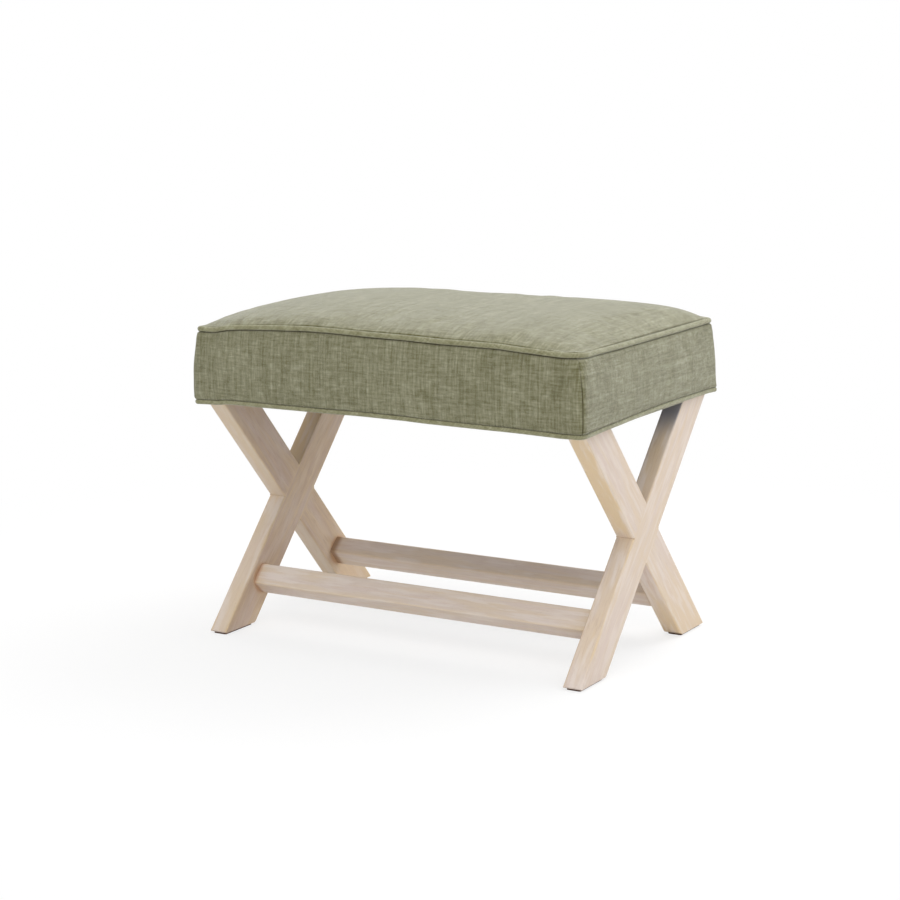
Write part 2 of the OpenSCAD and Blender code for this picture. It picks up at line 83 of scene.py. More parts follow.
# Camera
AZIMUTH, ELEVATION, ROLL = math.radians(30.40), math.radians(10.81), math.radians(-0.290)
LENS, SENSOR_WIDTH = 89.54, 36
CAMERA_PLACE = (1.5486, -2.6590, 0.8464)
camera = bpy.data.objects.new("camera", bpy.data.cameras.new("camera"))
bpy.context.scene.collection.objects.link(camera)
camera.data.lens = LENS
camera.data.sensor_width = SENSOR_WIDTH
back = Vector((math.sin(AZIMUTH) * math.cos(ELEVATION), -math.cos(AZIMUTH) * math.cos(ELEVATION),
               math.sin(ELEVATION)))
level = (-back).cross(Vector((0, 0, 1))).normalized()
upright = level.cross(-back).normalized()
right = math.cos(ROLL) * level + math.sin(ROLL) * upright
up = -math.sin(ROLL) * level + math.cos(ROLL) * upright
camera.matrix_world = Matrix.Translation(CAMERA_PLACE) @ Matrix((right, up, back)).transposed().to_4x4()
bpy.context.scene.camera = camera
bpy.context.scene.view_settings.view_transform = "Standard"


# Materials are built from fields: values that vary over a surface, and that can be added and multiplied
class Field:
    """An output of a shader node, in its tree."""

    def __init__(self, tree, socket):
        self.tree, self.socket = tree, socket

    def __add__(self, other):
        return maths("ADD", self, other)

    def __sub__(self, other):
        return maths("SUBTRACT", self, other)

    def __rsub__(self, other):
        return maths("SUBTRACT", other, self)

    def __mul__(self, other):
        return maths("MULTIPLY", self, other)

    def __truediv__(self, other):
        return maths("DIVIDE", self, other)

    def __abs__(self):
        return maths("ABSOLUTE", self)

    __radd__, __rmul__ = __add__, __mul__


def node(kind, inputs, out=0, tree=None, **settings):
    """An output of a new shader node. Its inputs are plain values, or fields, in whose tree it is made."""
    tree = tree or next(value.tree for value in inputs.values() if isinstance(value, Field))
    made = tree.nodes.new("ShaderNode" + kind)
    for key, value in settings.items():
        setattr(made, key, value)
    for key, value in inputs.items():
        if isinstance(value, Field):
            tree.links.new(value.socket, made.inputs[key])
        else:
            made.inputs[key].default_value = value
    return Field(tree, made.outputs[out]) if made.outputs else None


def maths(operation, a, b=0.0, clamp=False):
    return node("Math", {0: a, 1: b}, operation=operation, use_clamp=clamp)


def smooth(value, low, high, start=0.0, end=1.0):
    """Goes from start to end in an even curve while value goes from low to high."""
    return node("MapRange", {0: value, 1: low, 2: high, 3: start, 4: end}, interpolation_type="SMOOTHSTEP")


def blended(factor, a, b, blend="MIX"):
    return node("Mix", {0: factor, 6: a, 7: b}, 2, data_type="RGBA", blend_type=blend)


def vector(x, y, z):
    return node("CombineXYZ", {0: x, 1: y, 2: z})


def axes_of(place):
    """The three parts of a vector."""
    made = node("SeparateXYZ", {0: place}).socket.node
    return [Field(place.tree, socket) for socket in made.outputs]


def noise(place, scale=1.0, detail=2.0, roughness=0.5, distortion=0.0):
    return node("TexNoise", {"Vector": place, "Scale": scale, "Detail": detail, "Roughness": roughness,
                             "Distortion": distortion})


def streaks(u, v, width, length, seed, detail=1.0):
    """Noise drawn out along v: streaks of that width and length, in metres."""
    return noise(vector(u / width, v / length, seed), detail=detail)


def ramp(value, stops):
    """Colours by value: stops are places and colours, from low to high."""
    made = node("ValToRGB", {0: value})
    elements = made.socket.node.color_ramp.elements
    elements.remove(elements[1])
    elements[0].position, elements[0].color = stops[0]
    for place, colour in stops[1:]:
        elements.new(place).color = colour
    return made


def start_material(name):
    """A new material, and the place on the object, in metres."""
    made = bpy.data.materials.new(name)
    made.use_nodes = True
    made.node_tree.nodes.clear()
    return made, node("TexCoord", {}, "Object", made.node_tree)


def end_material(colour, roughness, bump, bump_size, **constants):
    """Adds the shader. constants are its plain values, such as metallic=1.0."""
    raised = node("Bump", {"Strength": 1.0, "Distance": bump_size, "Height": bump})
    shader = node("BsdfPrincipled", {"Base Color": colour, "Roughness": roughness, "Normal": raised})
    for name, value in constants.items():
        socket = name.replace("_", " ").title().replace("Ior", "IOR")
        shader.socket.node.inputs[socket].default_value = value
    node("OutputMaterial", {"Surface": shader})


# Linen
LINEN_DEEP = srgb(85, 81, 47)
LINEN_DARK = srgb(108, 105, 71)
LINEN_BASE = srgb(130, 128, 97)
LINEN_LIGHT = srgb(154, 152, 124)
LINEN_CREAM = srgb(184, 182, 158)
# The next colour is painted shade, laid into the seams' crevices
LINEN_PAINTED_SHADE = srgb(60, 53, 18)
LINEN_TONES = ((0.24, LINEN_DEEP), (0.38, LINEN_DARK), (0.50, LINEN_BASE), (0.62, LINEN_LIGHT),
               (0.76, LINEN_CREAM))
THREAD = 0.62 * MM
THREAD_WANDER = 1.4 * MM
CLOTH_ROUGHNESS = 0.92
BAND_RELIEF, TOP_RELIEF, PIPING_RELIEF = 0.22 * MM, 0.12 * MM, 0.15 * MM
# Runs of thicker and paler yarn: along the warp or not, width and length in mm, share of the pattern
SLUBS = (
    (True, 2.5, 13, 0.27), (True, 2.9, 150, 0.25), (False, 2.5, 14, 0.28), (False, 2.7, 60, 0.14),
    (True, 1.5, 4.2, 0.08), (False, 1.6, 5.0, 0.08), (True, 10, 60, 0.15), (True, 16, 24, 0.08),
)
END_SLUBS = SLUBS + ((False, 2.8, 60, 0.10),)
CLOTH = {"sheen_weight": 0.5, "sheen_roughness": 0.45, "sheen_tint": (1.0, 1.0, 0.95, 1.0),
         "specular_ior_level": 0.20}
TOP_CLOTH = {**CLOTH, "sheen_weight": 0.54, "sheen_tint": (1.0, 1.0, 1.0, 1.0)}
PIPING_CLOTH = {**CLOTH, "sheen_weight": 0.6}
# A dull finish for the copies of the cloth that carry painted shade in the seams
DULL_CLOTH = {**CLOTH, "sheen_weight": 0.1}


def weave(u, v, pitch):
    """Height of a plain weave, and 1 where the thread along v lies on top."""
    cos_u, cos_v = (maths("COSINE", place * (math.pi / pitch)) for place in (u, v))
    over = smooth(cos_u * cos_v, -0.35, 0.35)
    return maths("MAXIMUM", abs(cos_u) * over, abs(cos_v) * (1.0 - over)), over


def linen_colour(u, v, place, contrast, bright=1.0, slubs=SLUBS):
    """Slubby cloth: colour and height. The warp, whose slubs are longer, runs along v."""
    wander = (noise(place, scale=16.0, detail=1.0) - 0.5) * THREAD_WANDER
    bent_u, bent_v = u + wander, v - wander
    height, over = weave(bent_u, bent_v, THREAD)
    tone = (over - 0.5) * 0.03
    for number, (warp, width, length, share) in enumerate(slubs):
        across, along = (bent_u, bent_v) if warp else (bent_v, bent_u)
        slub = streaks(across, along, width * MM, length * MM, 1.3 + 2.7 * number)
        tone = tone + (slub - 0.5) * share
    tone = tone * contrast
    gaps = smooth(height, 0.15, 0.65, 0.86 * bright, bright)
    # Painted shade: the cloth darkens in the seams' crevices, by a value that the mesh carries
    painted_crevice_shade = node("Attribute", {}, "Fac", place.tree, attribute_name="painted_crevice_shade")
    colour = blended(1.0, ramp(tone + 0.5, LINEN_TONES), vector(gaps, gaps, gaps), "MULTIPLY")
    colour = blended(smooth(painted_crevice_shade, 0.0, 1.0, 0.0, 0.92), colour, LINEN_PAINTED_SHADE)
    return colour, height + tone * 1.6


def linen(name, across, along, contrast=1.0, relief_size=BAND_RELIEF, slubs=SLUBS, finish=CLOTH):
    """The cloth of a panel whose warp runs along one axis and its weft along another."""
    made, place = start_material(name)
    axes = axes_of(place)
    colour, relief = linen_colour(axes[across], axes[along], place, contrast, slubs=slubs)
    end_material(colour, CLOTH_ROUGHNESS, relief, relief_size, **finish)
    return made


def linen_bias(name, finish):
    """The cloth of the piping, cut at a slant to its run."""
    made, place = start_material(name)
    x, y, z = axes_of(place)
    run = x + y
    # bright=1.2 makes the piping's linen lighter than the same linen on the panels: painted light
    colour, relief = linen_colour(z - run, z + run * 0.5, place, 0.75, bright=1.2)
    end_material(colour, CLOTH_ROUGHNESS, relief, PIPING_RELIEF, **finish)
    return made


# Wood
LIMED_BASE = srgb(213, 197, 184)
LIMED_WHITE = srgb(224, 212, 203)
LIMED_TAN = srgb(215, 191, 154)
LIMED_BROWN = srgb(186, 160, 138)
LIMED_INNER = srgb(197, 172, 149)
LIMED_STAIN = srgb(150, 108, 72)
# Painted shade for the legs' outer faces and their narrow faces
LIMED_SHADE = srgb(194, 181, 170)
LIMED_WARM_SHADE = srgb(199, 181, 155)
LIMED_ROSE = srgb(205, 180, 174)
LIMED_RUST = srgb(188, 138, 100)
# A painted blue-grey shadow, for the right front leg just under the cushion
LIMED_PAINTED_SHADOW = srgb(128, 131, 142)
EDGE_REACH = 3.5 * MM
WOOD_RELIEF = 0.10 * MM
WOOD_GLOSS = 0.4
PLY_PAIR = 3 * MM


def bar_place(place, turn, centre_y, centre_z):
    """Coordinates of a bar: along it is z, across its width is y, and x as it was."""
    spin = Matrix.Rotation(turn, 3, "X")
    shift = -(spin @ Vector((0, centre_y, centre_z)))
    return axes_of(node("Mapping", {"Vector": place, "Location": shift, "Rotation": (turn, 0, 0)}))


def limed_wood(across, other, along, tan, inner, seed):
    """Colour, roughness and height of whitened open-grained wood.

    tan is 0 to 1, where the wash is rubbed off, and inner is 1 on a face that is browner and darker, with
    less white.
    """
    section = across + other * 0.6
    figure = streaks(section, along, 3.6 * MM, 70 * MM, seed, detail=3.0)
    fine = streaks(section, along, 0.9 * MM, 24 * MM, seed + 3.1, detail=2.0)
    wash = streaks(section, along, 6 * MM, 64 * MM, seed + 7.7, detail=3.0)
    cloud = streaks(section, along, 26 * MM, 80 * MM, seed + 11.3, detail=2.0)
    drift = streaks(section, along, 12 * MM, 150 * MM, seed + 15.9, detail=2.0)
    hair = streaks(across + other, along, 0.45 * MM, 7 * MM, seed + 5.2)
    pores = smooth(hair, 0.64, 0.76)
    layers = (
        (smooth(drift, 0.54, 0.40, 0.0, 0.38), LIMED_TAN),
        (smooth(drift, 0.50, 0.64, 0.0, 0.22), LIMED_ROSE),
        (smooth(figure, 0.50, 0.34, 0.0, 0.36), LIMED_TAN),
        (smooth(fine, 0.50, 0.70, 0.0, 0.42) * (inner + 0.75), LIMED_BROWN),
        (maths("MULTIPLY", tan, 0.80, clamp=True), LIMED_TAN),
        (smooth(wash, 0.46, 0.64, 0.0, 0.65) * (1.0 - inner * 0.7), LIMED_WHITE),
        (pores * 0.35, LIMED_BROWN),
    )
    colour = blended(inner * smooth(cloud, 0.35, 0.60, 0.5, 1.0), LIMED_BASE, LIMED_INNER)
    for share, tone in layers:
        colour = blended(share, colour, tone)
    return colour, smooth(wash, 0.35, 0.70, 0.55, 0.72), fine * 0.6 - pores


def near_edges(a, half_a, b, half_b, reach):
    """1 on the arrises of a bar, falling to 0 within reach."""
    return smooth(abs(a), half_a - reach, half_a) * smooth(abs(b), half_b - reach, half_b)


def leg_material(name, slant, seed, rubbed, low_tan=0.0, foot_tan=0.0, shade=0.0, tint=None):
    """The wood of a leg bar. slant is 1 where its foot is at the front, and -1 where it is at the back.

    rubbed is how bare the narrow face over the crossing is, low_tan the one under it, and foot_tan the foot.
    shade is painted shade that darkens the narrow faces. tint is a colour for the upper one, its share, and
    the heights in mm between which it sets in.
    """
    made, place = start_material(name)
    turn = slant * (math.pi / 2 - BAR_ANGLE)
    half_thick, half_wide = BAR_THICKNESS / 2, BAR_WIDTH / 2
    x, y, z = bar_place(place, turn, 0, CROSS_Z)
    centred = abs(x) - BAR_CENTRE_X
    on_inside = smooth(centred, -half_thick, 2 * MM - half_thick, 1.0, 0.0)
    # Rubbed arrises, the glue line of the crossing, and the wood round it
    patch = smooth(noise(place, scale=30.0, detail=2.0), 0.38, 0.62)
    edges = near_edges(centred, half_thick, y, half_wide, EDGE_REACH) * (patch + 0.2)
    other_y = bar_place(place, -turn, 0, CROSS_Z)[1]
    off_joint = abs(abs(other_y) - half_wide)
    near_joint = smooth(off_joint, 0.5 * MM, 7 * MM, 0.22, 0.0)
    on_front = smooth(abs(y), half_wide - 1.5 * MM, half_wide)
    glue_line = smooth(off_joint, 0.10 * MM, 0.45 * MM, 1.0, 0.0) * (on_front * 0.5 + 0.06)
    # The narrow face over the crossing took less of the wash
    narrow = smooth(y * -1.0, half_wide - 1.5 * MM, half_wide)
    bare = narrow * smooth(z, 20 * MM, 50 * MM, low_tan, rubbed)
    bare = bare + smooth(z, -60 * MM, -190 * MM, 0.0, foot_tan)
    # Round the stretcher's end
    off_stretcher = z + STRETCHER_DOWN
    length = maths("SQRT", y * y + off_stretcher * off_stretcher)
    socket = smooth(length, 16 * MM, 30 * MM, 0.6, 0.0) * on_inside
    halo = smooth(length, 18 * MM, 25 * MM, 0.55, 0.0) * on_inside
    inner = smooth(centred, 0.5 * MM - half_thick, 2.5 * MM - half_thick, 1.0, 0.0)
    colour, roughness, relief = limed_wood(y, centred, z, edges + near_joint + socket + bare, inner, seed)
    # Painted shade: the outer faces are darkened a little, and the narrow faces by shade
    outer = smooth(centred, half_thick - 1.5 * MM, half_thick, 0.0, 0.30)
    layers = [(glue_line, LIMED_STAIN), (outer, LIMED_SHADE), (narrow * shade, LIMED_WARM_SHADE),
              (halo, LIMED_RUST)]
    # The tint on the upper narrow face: brown on the left front leg, a painted blue-grey shadow on the right
    # front one
    if tint:
        tint_colour, share, low, high = tint
        layers.append((narrow * smooth(z, low * MM, high * MM, 0.0, share), tint_colour))
    for share, tone in layers:
        colour = blended(share, colour, tone)
    end_material(colour, roughness, relief, WOOD_RELIEF, specular_ior_level=WOOD_GLOSS)
    return made


def stretcher_material(name, side, seed):
    """Stretcher wood, whitened as painted light, darker at its ends. side is -1 for the front one and 1 for
    the back one.
    """
    made, place = start_material(name)
    x, y, z = bar_place(place, side * BAR_ANGLE, side * STRETCHER_Y, STRETCHER_Z)
    edges = near_edges(y, STRETCHER_SIZE[0] / 2, z, STRETCHER_SIZE[1] / 2, EDGE_REACH)
    from_end = BAR_INNER_X - abs(x)
    tan = edges * 0.8 + smooth(from_end, 0.0, 24 * MM, 0.8, 0.0)
    colour, roughness, relief = limed_wood(y, z, x, tan, 0.0, seed)
    low, high, share, end_tone = (4, 14, 0.75, LIMED_STAIN) if side > 0 else (1, 6, 0.55, LIMED_RUST)
    # Painted light: the whole stretcher is whitened a little
    colour = blended(0.2, colour, LIMED_WHITE)
    colour = blended(smooth(from_end, low * MM, high * MM, share, 0.0), colour, end_tone)
    end_material(colour, roughness, relief, WOOD_RELIEF, specular_ior_level=WOOD_GLOSS)
    return made


def plain_wood(name, grain_axis, light, dark, seed, plies=False):
    """Unfinished wood, whose grain runs along an axis. plies shows the layers of plywood in its edges."""
    made, place = start_material(name)
    axes = axes_of(place)
    across = axes[1 - grain_axis] + axes[2]
    figure = streaks(across, axes[grain_axis], 5 * MM, 160 * MM, seed, detail=3.0)
    fine = streaks(across, axes[grain_axis], 0.8 * MM, 40 * MM, seed + 2.3, detail=2.0)
    colour = ramp(figure * 0.7 + fine * 0.3, ((0.36, dark), (0.60, light)))
    if plies:
        layer = maths("SINE", axes[2] * (2 * math.pi / PLY_PAIR))
        colour = blended(smooth(layer, -0.1, 0.1, 0.0, 0.25), colour, dark)
    end_material(colour, 0.7, fine, 0.15 * MM, specular_ior_level=0.35)
    return made


def felt_material(name):
    made, place = start_material(name)
    fluff = noise(place, scale=1400.0, detail=3.0, roughness=0.7)
    patch = noise(place, scale=160.0, detail=2.0)
    colour = ramp(fluff * 0.7 + patch * 0.3, ((0.36, srgb(62, 40, 30)), (0.62, srgb(112, 80, 62))))
    end_material(colour, 0.95, fluff, 0.3 * MM, sheen_weight=0.4, sheen_roughness=0.5)
    return made


def metal_material(name, colour, dull, roughness):
    """Plated or plain metal with cloudy patches and fine scratches along Z."""
    made, place = start_material(name)
    cloud = noise(place, scale=260.0, detail=3.0)
    drawn = node("VectorMath", {0: place, 1: (2600.0, 2600.0, 180.0)}, operation="MULTIPLY")
    scratch = noise(drawn, detail=1.0)
    rough = smooth(cloud + scratch * 0.3, 0.4, 0.9, roughness - 0.08, roughness + 0.14)
    tint = ramp(cloud, ((0.38, dull), (0.62, colour)))
    end_material(tint, rough, scratch, 0.02 * MM, metallic=1.0)
    return made


def dust_cover_material(name):
    made, place = start_material(name)
    x, y, _ = axes_of(place)
    height, _ = weave(x, y, 1.3 * MM)
    fibres = noise(place, scale=900.0, detail=3.0, roughness=0.7, distortion=0.6)
    tone = height * 0.35 + fibres * 0.65
    colour = ramp(tone, ((0.30, srgb(22, 22, 24)), (0.75, srgb(58, 58, 61))))
    end_material(colour, 0.85, tone, 0.15 * MM, specular_ior_level=0.3)
    return made


# Outline of the cushion, as rings of the same count: each side runs from one corner's middle to the next
SIDE_COUNTS = (104, 72, 104, 72)
RING = sum(SIDE_COUNTS)
CORNERS = np.array([(-1, -1), (1, -1), (1, 1), (-1, 1)])
CORNER_STEPS = 6
SEAM_HALF = 0.8 * MM
SEAM_DEPTH = 1.1 * MM
FLARE_REACH = 11 * MM
CROWDING = 0.55


def corner_angles(radius):
    """From the middle of a corner, whose first step is half the seam's groove, to its end."""
    return np.concatenate([[0], np.linspace(SEAM_HALF / radius, math.pi / 4, CORNER_STEPS)])


def side_points(k, half, radii, count):
    """Points of one side of a rounded rectangle, from the middle of corner k up to that of the next."""
    after = (k + 1) % 4
    centres = [CORNERS[i] * (half - radii[i]) for i in (k, after)]
    facing = math.radians(90 * k - 90)

    def on_arc(centre, radius, angles):
        return centre + radius * np.column_stack([np.cos(facing + angles), np.sin(facing + angles)])
    leaving = on_arc(centres[0], radii[k], corner_angles(radii[k]) - math.pi / 4)
    arriving = on_arc(centres[1], radii[after], math.pi / 4 - corner_angles(radii[after])[::-1])
    run = np.linspace(0, 1, count - 2 * CORNER_STEPS + 1)[:, None]
    run = run - CROWDING * np.sin(2 * np.pi * run) / (2 * np.pi)
    straight = leaving[-1] * (1 - run) + arriving[0] * run
    return np.vstack([leaving[:-1], straight, arriving[1:-1]])


def outline(half, radii, flare=0.0, pull=0.0):
    """A rounded rectangle whose corners are pushed out by flare and whose sides are drawn in by pull."""
    half = np.asarray(half)
    points = np.vstack([side_points(k, half, radii, n) for k, n in enumerate(SIDE_COUNTS)])
    share = np.clip(np.abs(points) / half, 0, 1)
    points = points * (1 - pull / half * (1 - share[:, ::-1] ** 2))
    for k, push in enumerate(np.broadcast_to(flare, 4)):
        away = np.linalg.norm(points - CORNERS[k] * half, axis=1)
        points += CORNERS[k] / math.sqrt(2) * push * np.exp(-(away / FLARE_REACH) ** 2)[:, None]
    return points


# How far each seam stands over its piping's height, along the front, the right end, the back and the left
# end: place and rise in mm, from the left or from the front
TOP_RISES = [np.array(table) * MM for table in (
    [(-293, -2.2), (-267, -2.0), (-245, 2.2), (-216, 4.7), (-166, 7.0), (-115, 8.9), (-76, 8.7), (-20, 7.2),
     (40, 6.6), (90, 5.2), (177, 5.2), (222, 2.2), (243, 1.1), (263, 0.3), (293, 0)],
    [(-199, 0), (-100, -1.2), (0, -1.6), (100, -1.4), (199, -0.3)],
    [(-293, 0), (-243, 0.2), (-200, 3.0), (-150, 5.6), (-90, 6.4), (-40, 6.6), (20, 7.2), (76, 7.4),
     (115, 7.0), (166, 6.6), (216, 5.6), (245, 4.4), (267, 2.6), (293, -0.3)],
    [(-199, -2.2), (-100, -0.6), (0, -0.2), (100, -0.8), (199, 0)])]
BOTTOM_RISES = [np.array(table) * MM for table in (
    [(-299, -1.6), (-264, -0.5), (-250, 1.5), (-160, 1.9), (-75, 2.2), (-40, 2.9), (34, 2.9), (70, 1.6),
     (149, 1.2), (190, 1.3), (238, 0.4), (273, -0.1), (299, 0.2)],
    [(-201, 0.2), (-170, 1.4), (-137, 2.3), (-100, 2.9), (-58, 4.0), (-17, 5.0), (26, 5.8), (80, 5.7),
     (138, 5.2), (176, 4.7), (201, 4.4)],
    [(-299, 0.4), (-200, 1.2), (-80, 2.2), (40, 2.6), (150, 2.8), (240, 3.8), (299, 4.4)],
    [(-201, -1.6), (-150, 0.6), (-60, 1.6), (80, 1.8), (201, 0.4)])]


def rise_between(tables, half, x, y):
    """The rise over a whole panel, blended from its four sides."""
    front, behind = (np.interp(x, tables[side][:, 0], tables[side][:, 1]) for side in (0, 2))
    right_end, left_end = (np.interp(y, tables[side][:, 0], tables[side][:, 1]) for side in (1, 3))
    u, v = (np.clip((place / size + 1) / 2, 0, 1) for place, size in ((x, half[0]), (y, half[1])))
    ends = [tables[0][0, 1], tables[0][-1, 1], tables[2][0, 1], tables[2][-1, 1]]
    level = (ends[0] * (1 - u) + ends[1] * u) * (1 - v) + (ends[2] * (1 - u) + ends[3] * u) * v
    return front * (1 - v) + behind * v + left_end * (1 - u) + right_end * u - level


def top_rise(x, y):
    return rise_between(TOP_RISES, TOP_HALF, x, y)


def bottom_rise(x, y):
    return rise_between(BOTTOM_RISES, BOTTOM_HALF, x, y)


CROWN = 22.2 * MM
RIM_SETBACK = 0.3 * MM


def crown(x, y, half):
    """Height of the domed top over its rim: rounder towards the front, full towards the back."""
    u, v = np.clip(np.abs(x) / half[0], 0, 1), np.clip(np.abs(y) / half[1], 0, 1)
    full = np.clip((y / half[1] + 0.8) / 1.1, 0, 1)
    fall_left = (1 - u ** 5.8) ** 0.30
    fall_right = (1 - u ** (4.2 + 7.8 * full)) ** (0.46 - 0.073 * full)
    fall_front = (1 - v ** 2.2) ** np.interp(x / half[0], [-0.8, 0, 0.8], [0.60, 0.54, 0.46])
    fall_back = (1 - v ** 4) ** 0.79
    falls = np.where(x < 0, fall_left, fall_right) * np.where(y < 0, fall_front, fall_back)
    # Close to the seams the cloth leaves its piping at a low slope
    soft_x = np.where(x < 0, 2.0, np.interp(y / half[1], [0.4, 0.95], [11.0, 5.0])) * MM
    soft_y = np.where(y < 0, 5.5, 4.0) * MM
    rim_x = 1 - np.exp(-(half[0] * (1 - u) + RIM_SETBACK) / soft_x)
    rim_y = 1 - np.exp(-(half[1] * (1 - v) + RIM_SETBACK) / soft_y)
    return CROWN * falls * rim_x * rim_y


# Cushion: a closed padded form over the deck, its cover drawn in at the piped seams
TOP_RADII = np.array([4.2, 24.0, 4.2, 9.0]) * MM
MIDDLE_RADII = np.array([4.5, 8.5, 8.0, 7.0]) * MM
BOTTOM_RADII = np.array([4.5, 11.0, 4.5, 8.0]) * MM
TOP_FLARE = np.array([1.6, 0.0, 0.6, 1.0]) * MM
BAND_FLARE = np.array([0.5, 0.0, 0.0, 0.5]) * MM
BOTTOM_FLARE = np.array([1.3, 0.0, 4.2, 0.5]) * MM
TOP_PULL, BOTTOM_PULL = 2.2 * MM, 0.8 * MM
BULGE = np.array([6.8, 5.2]) * MM
BAND_HEIGHT = 97 * MM
BAND_OVER_PIPING, BAND_UNDER_PIPING = 2.2 * MM, 2.8 * MM
# How far the band stands out from the line between its seams, as shares of its bulge, by the distance in
# mm from the bottom seam and from the top seam
FROM_BOTTOM = np.array([(0, -0.55), (0.4, -0.25), (0.8, 0.05), (1.2, 0.22), (1.8, 0.38), (2.6, 0.49),
                        (4, 0.58), (6, 0.64), (9, 0.71), (13, 0.77), (27, 0.90), (40, 0.985)])
FROM_TOP = np.array([(0, -0.65), (0.4, -0.35), (0.8, -0.02), (1.2, 0.18), (1.8, 0.34), (2.6, 0.45),
                     (4, 0.54), (6, 0.60), (9, 0.67), (13, 0.73), (28, 0.89), (41, 0.985)])
EDGE_STEPS = FROM_TOP[:10, 0] * MM / BAND_HEIGHT
BAND_LEVELS = np.concatenate([EDGE_STEPS, np.linspace(EDGE_STEPS[-1], 1 - EDGE_STEPS[-1], 14)[1:-1],
                              1 - EDGE_STEPS[::-1]])
PROFILE_T = np.concatenate([FROM_BOTTOM[:, 0] * MM / BAND_HEIGHT, [0.5],
                            1 - FROM_TOP[::-1, 0] * MM / BAND_HEIGHT])
PROFILE = np.concatenate([FROM_BOTTOM[:, 1], [1.0], FROM_TOP[::-1, 1]])
FRAME_RINGS = np.array([0, 0.012, 0.035, 0.075, 0.14, 0.23, 0.34, 0.48, 0.64, 0.82])
FRAME_DEPTH = 40 * MM
RIM_INSET, RIM_RADIUS_LESS, RIM_OVER_PIPING = 0.9 * MM, 0.5 * MM, 3.6 * MM
BASE_GAP, DECK_GAP = 0.4 * MM, 0.3 * MM
INNER_HEIGHTS = (DECK_TOP_Z + DECK_GAP, 0.356, BOTTOM_PIPING_Z + BOTTOM_PIPING_R)


def band_ring(t, swell):
    """The ring of the cover's side at a share t of its height."""
    stand = np.interp(t, PROFILE_T, PROFILE) * BULGE * swell
    half = BOTTOM_HALF + (TOP_HALF - BOTTOM_HALF) * t + stand
    radii = MIDDLE_RADII + (BOTTOM_RADII - MIDDLE_RADII) * (1 - t) ** 4 + (TOP_RADII - MIDDLE_RADII) * t ** 4
    flare = BAND_FLARE + (BOTTOM_FLARE - BAND_FLARE) * (1 - t) ** 8 + (TOP_FLARE - BAND_FLARE) * t ** 8
    plan = outline(half, radii, flare, BOTTOM_PULL + (TOP_PULL - BOTTOM_PULL) * t)
    low = BOTTOM_PIPING_Z + BAND_OVER_PIPING + bottom_rise(plan[:, 0], plan[:, 1])
    high = TOP_PIPING_Z - BAND_UNDER_PIPING + top_rise(plan[:, 0], plan[:, 1])
    return np.column_stack([plan, low + (high - low) * t])


def top_edge():
    """The top panel's rim, under the inner side of its piping."""
    return outline(TOP_HALF - RIM_INSET, TOP_RADII - RIM_RADIUS_LESS, TOP_FLARE, TOP_PULL)


def top_point_heights(plan, swell):
    x, y = plan[:, 0], plan[:, 1]
    return TOP_PIPING_Z + RIM_OVER_PIPING + top_rise(x, y) + crown(x, y, TOP_HALF - RIM_INSET) * swell


def inner_boundary():
    """The middle grid's edge, in the outline's order."""
    nx, ny = SIDE_COUNTS[:2]
    hx, hy = TOP_HALF - FRAME_DEPTH
    xs, ys = np.linspace(-hx, hx, nx + 1), np.linspace(-hy, hy, ny + 1)
    front = [(x, -hy) for x in xs[:-1]]
    right_end = [(hx, y) for y in ys[:-1]]
    behind = [(x, hy) for x in xs[:0:-1]]
    left_end = [(-hx, y) for y in ys[:0:-1]]
    return np.array(front + right_end + behind + left_end), xs, ys


def ring_quads(a, b, count):
    """Quads between two closed rings of vertices that start at a and b."""
    return [(a + i, a + (i + 1) % count, b + (i + 1) % count, b + i) for i in range(count)]


def grid_quad(i, j, count, start=0):
    """One quad of a grid whose rows of count vertices follow each other."""
    a = start + i * count + j
    return a, a + count, a + count + 1, a + 1


def cushion_points(swell):
    """Vertices and quads of the cover and of the walls round the base, and the number of rings."""
    inner_plan = outline(BASE_HALF + BASE_GAP, BASE_RADII)
    rings = [np.column_stack([inner_plan, np.full(RING, z)]) for z in INNER_HEIGHTS]
    rings += [band_ring(t, swell) for t in BAND_LEVELS]
    edge = top_edge()
    inner, xs, ys = inner_boundary()
    for share in FRAME_RINGS[1:]:
        plan = edge * (1 - share) + inner * share
        rings.append(np.column_stack([plan, top_point_heights(plan, swell)]))
    points = np.vstack(rings)
    faces = []
    for r in range(len(rings) - 1):
        faces += ring_quads(r * RING, (r + 1) * RING, RING)
    grid_x, grid_y = np.meshgrid(xs, ys, indexing="ij")
    plan = np.column_stack([grid_x.ravel(), grid_y.ravel()])
    start = len(points)
    points = np.vstack([points, np.column_stack([plan, top_point_heights(plan, swell)])])
    nx, ny = SIDE_COUNTS[:2]

    def at(i, j):
        return start + i * (ny + 1) + j
    faces += [grid_quad(i, j, ny + 1, start) for i in range(nx) for j in range(ny)]
    around = ([at(i, 0) for i in range(nx)] + [at(nx, j) for j in range(ny)]
              + [at(i, ny) for i in range(nx, 0, -1)] + [at(0, j) for j in range(ny, 0, -1)])
    last = (len(rings) - 1) * RING
    for i in range(RING):
        j = (i + 1) % RING
        faces.append((last + i, last + j, around[j], around[i]))
    return points, faces, len(rings)


def new_mesh(name, points, faces, materials=(), smooth_faces=True):
    mesh = bpy.data.meshes.new(name)
    mesh.from_pydata([tuple(p) for p in points], [], faces)
    mesh.update()
    for material in materials:
        mesh.materials.append(material)
    mesh.polygons.foreach_set("use_smooth", [smooth_faces] * len(mesh.polygons))
    made = bpy.data.objects.new(name, mesh)
    bpy.context.scene.collection.objects.link(made)
    return made


def read_points(mesh):
    found = np.empty(len(mesh.vertices) * 3)
    mesh.vertices.foreach_get("co", found)
    return found.reshape(-1, 3)


def write_points(mesh, points):
    mesh.vertices.foreach_set("co", np.asarray(points, np.float32).ravel())
    mesh.update()


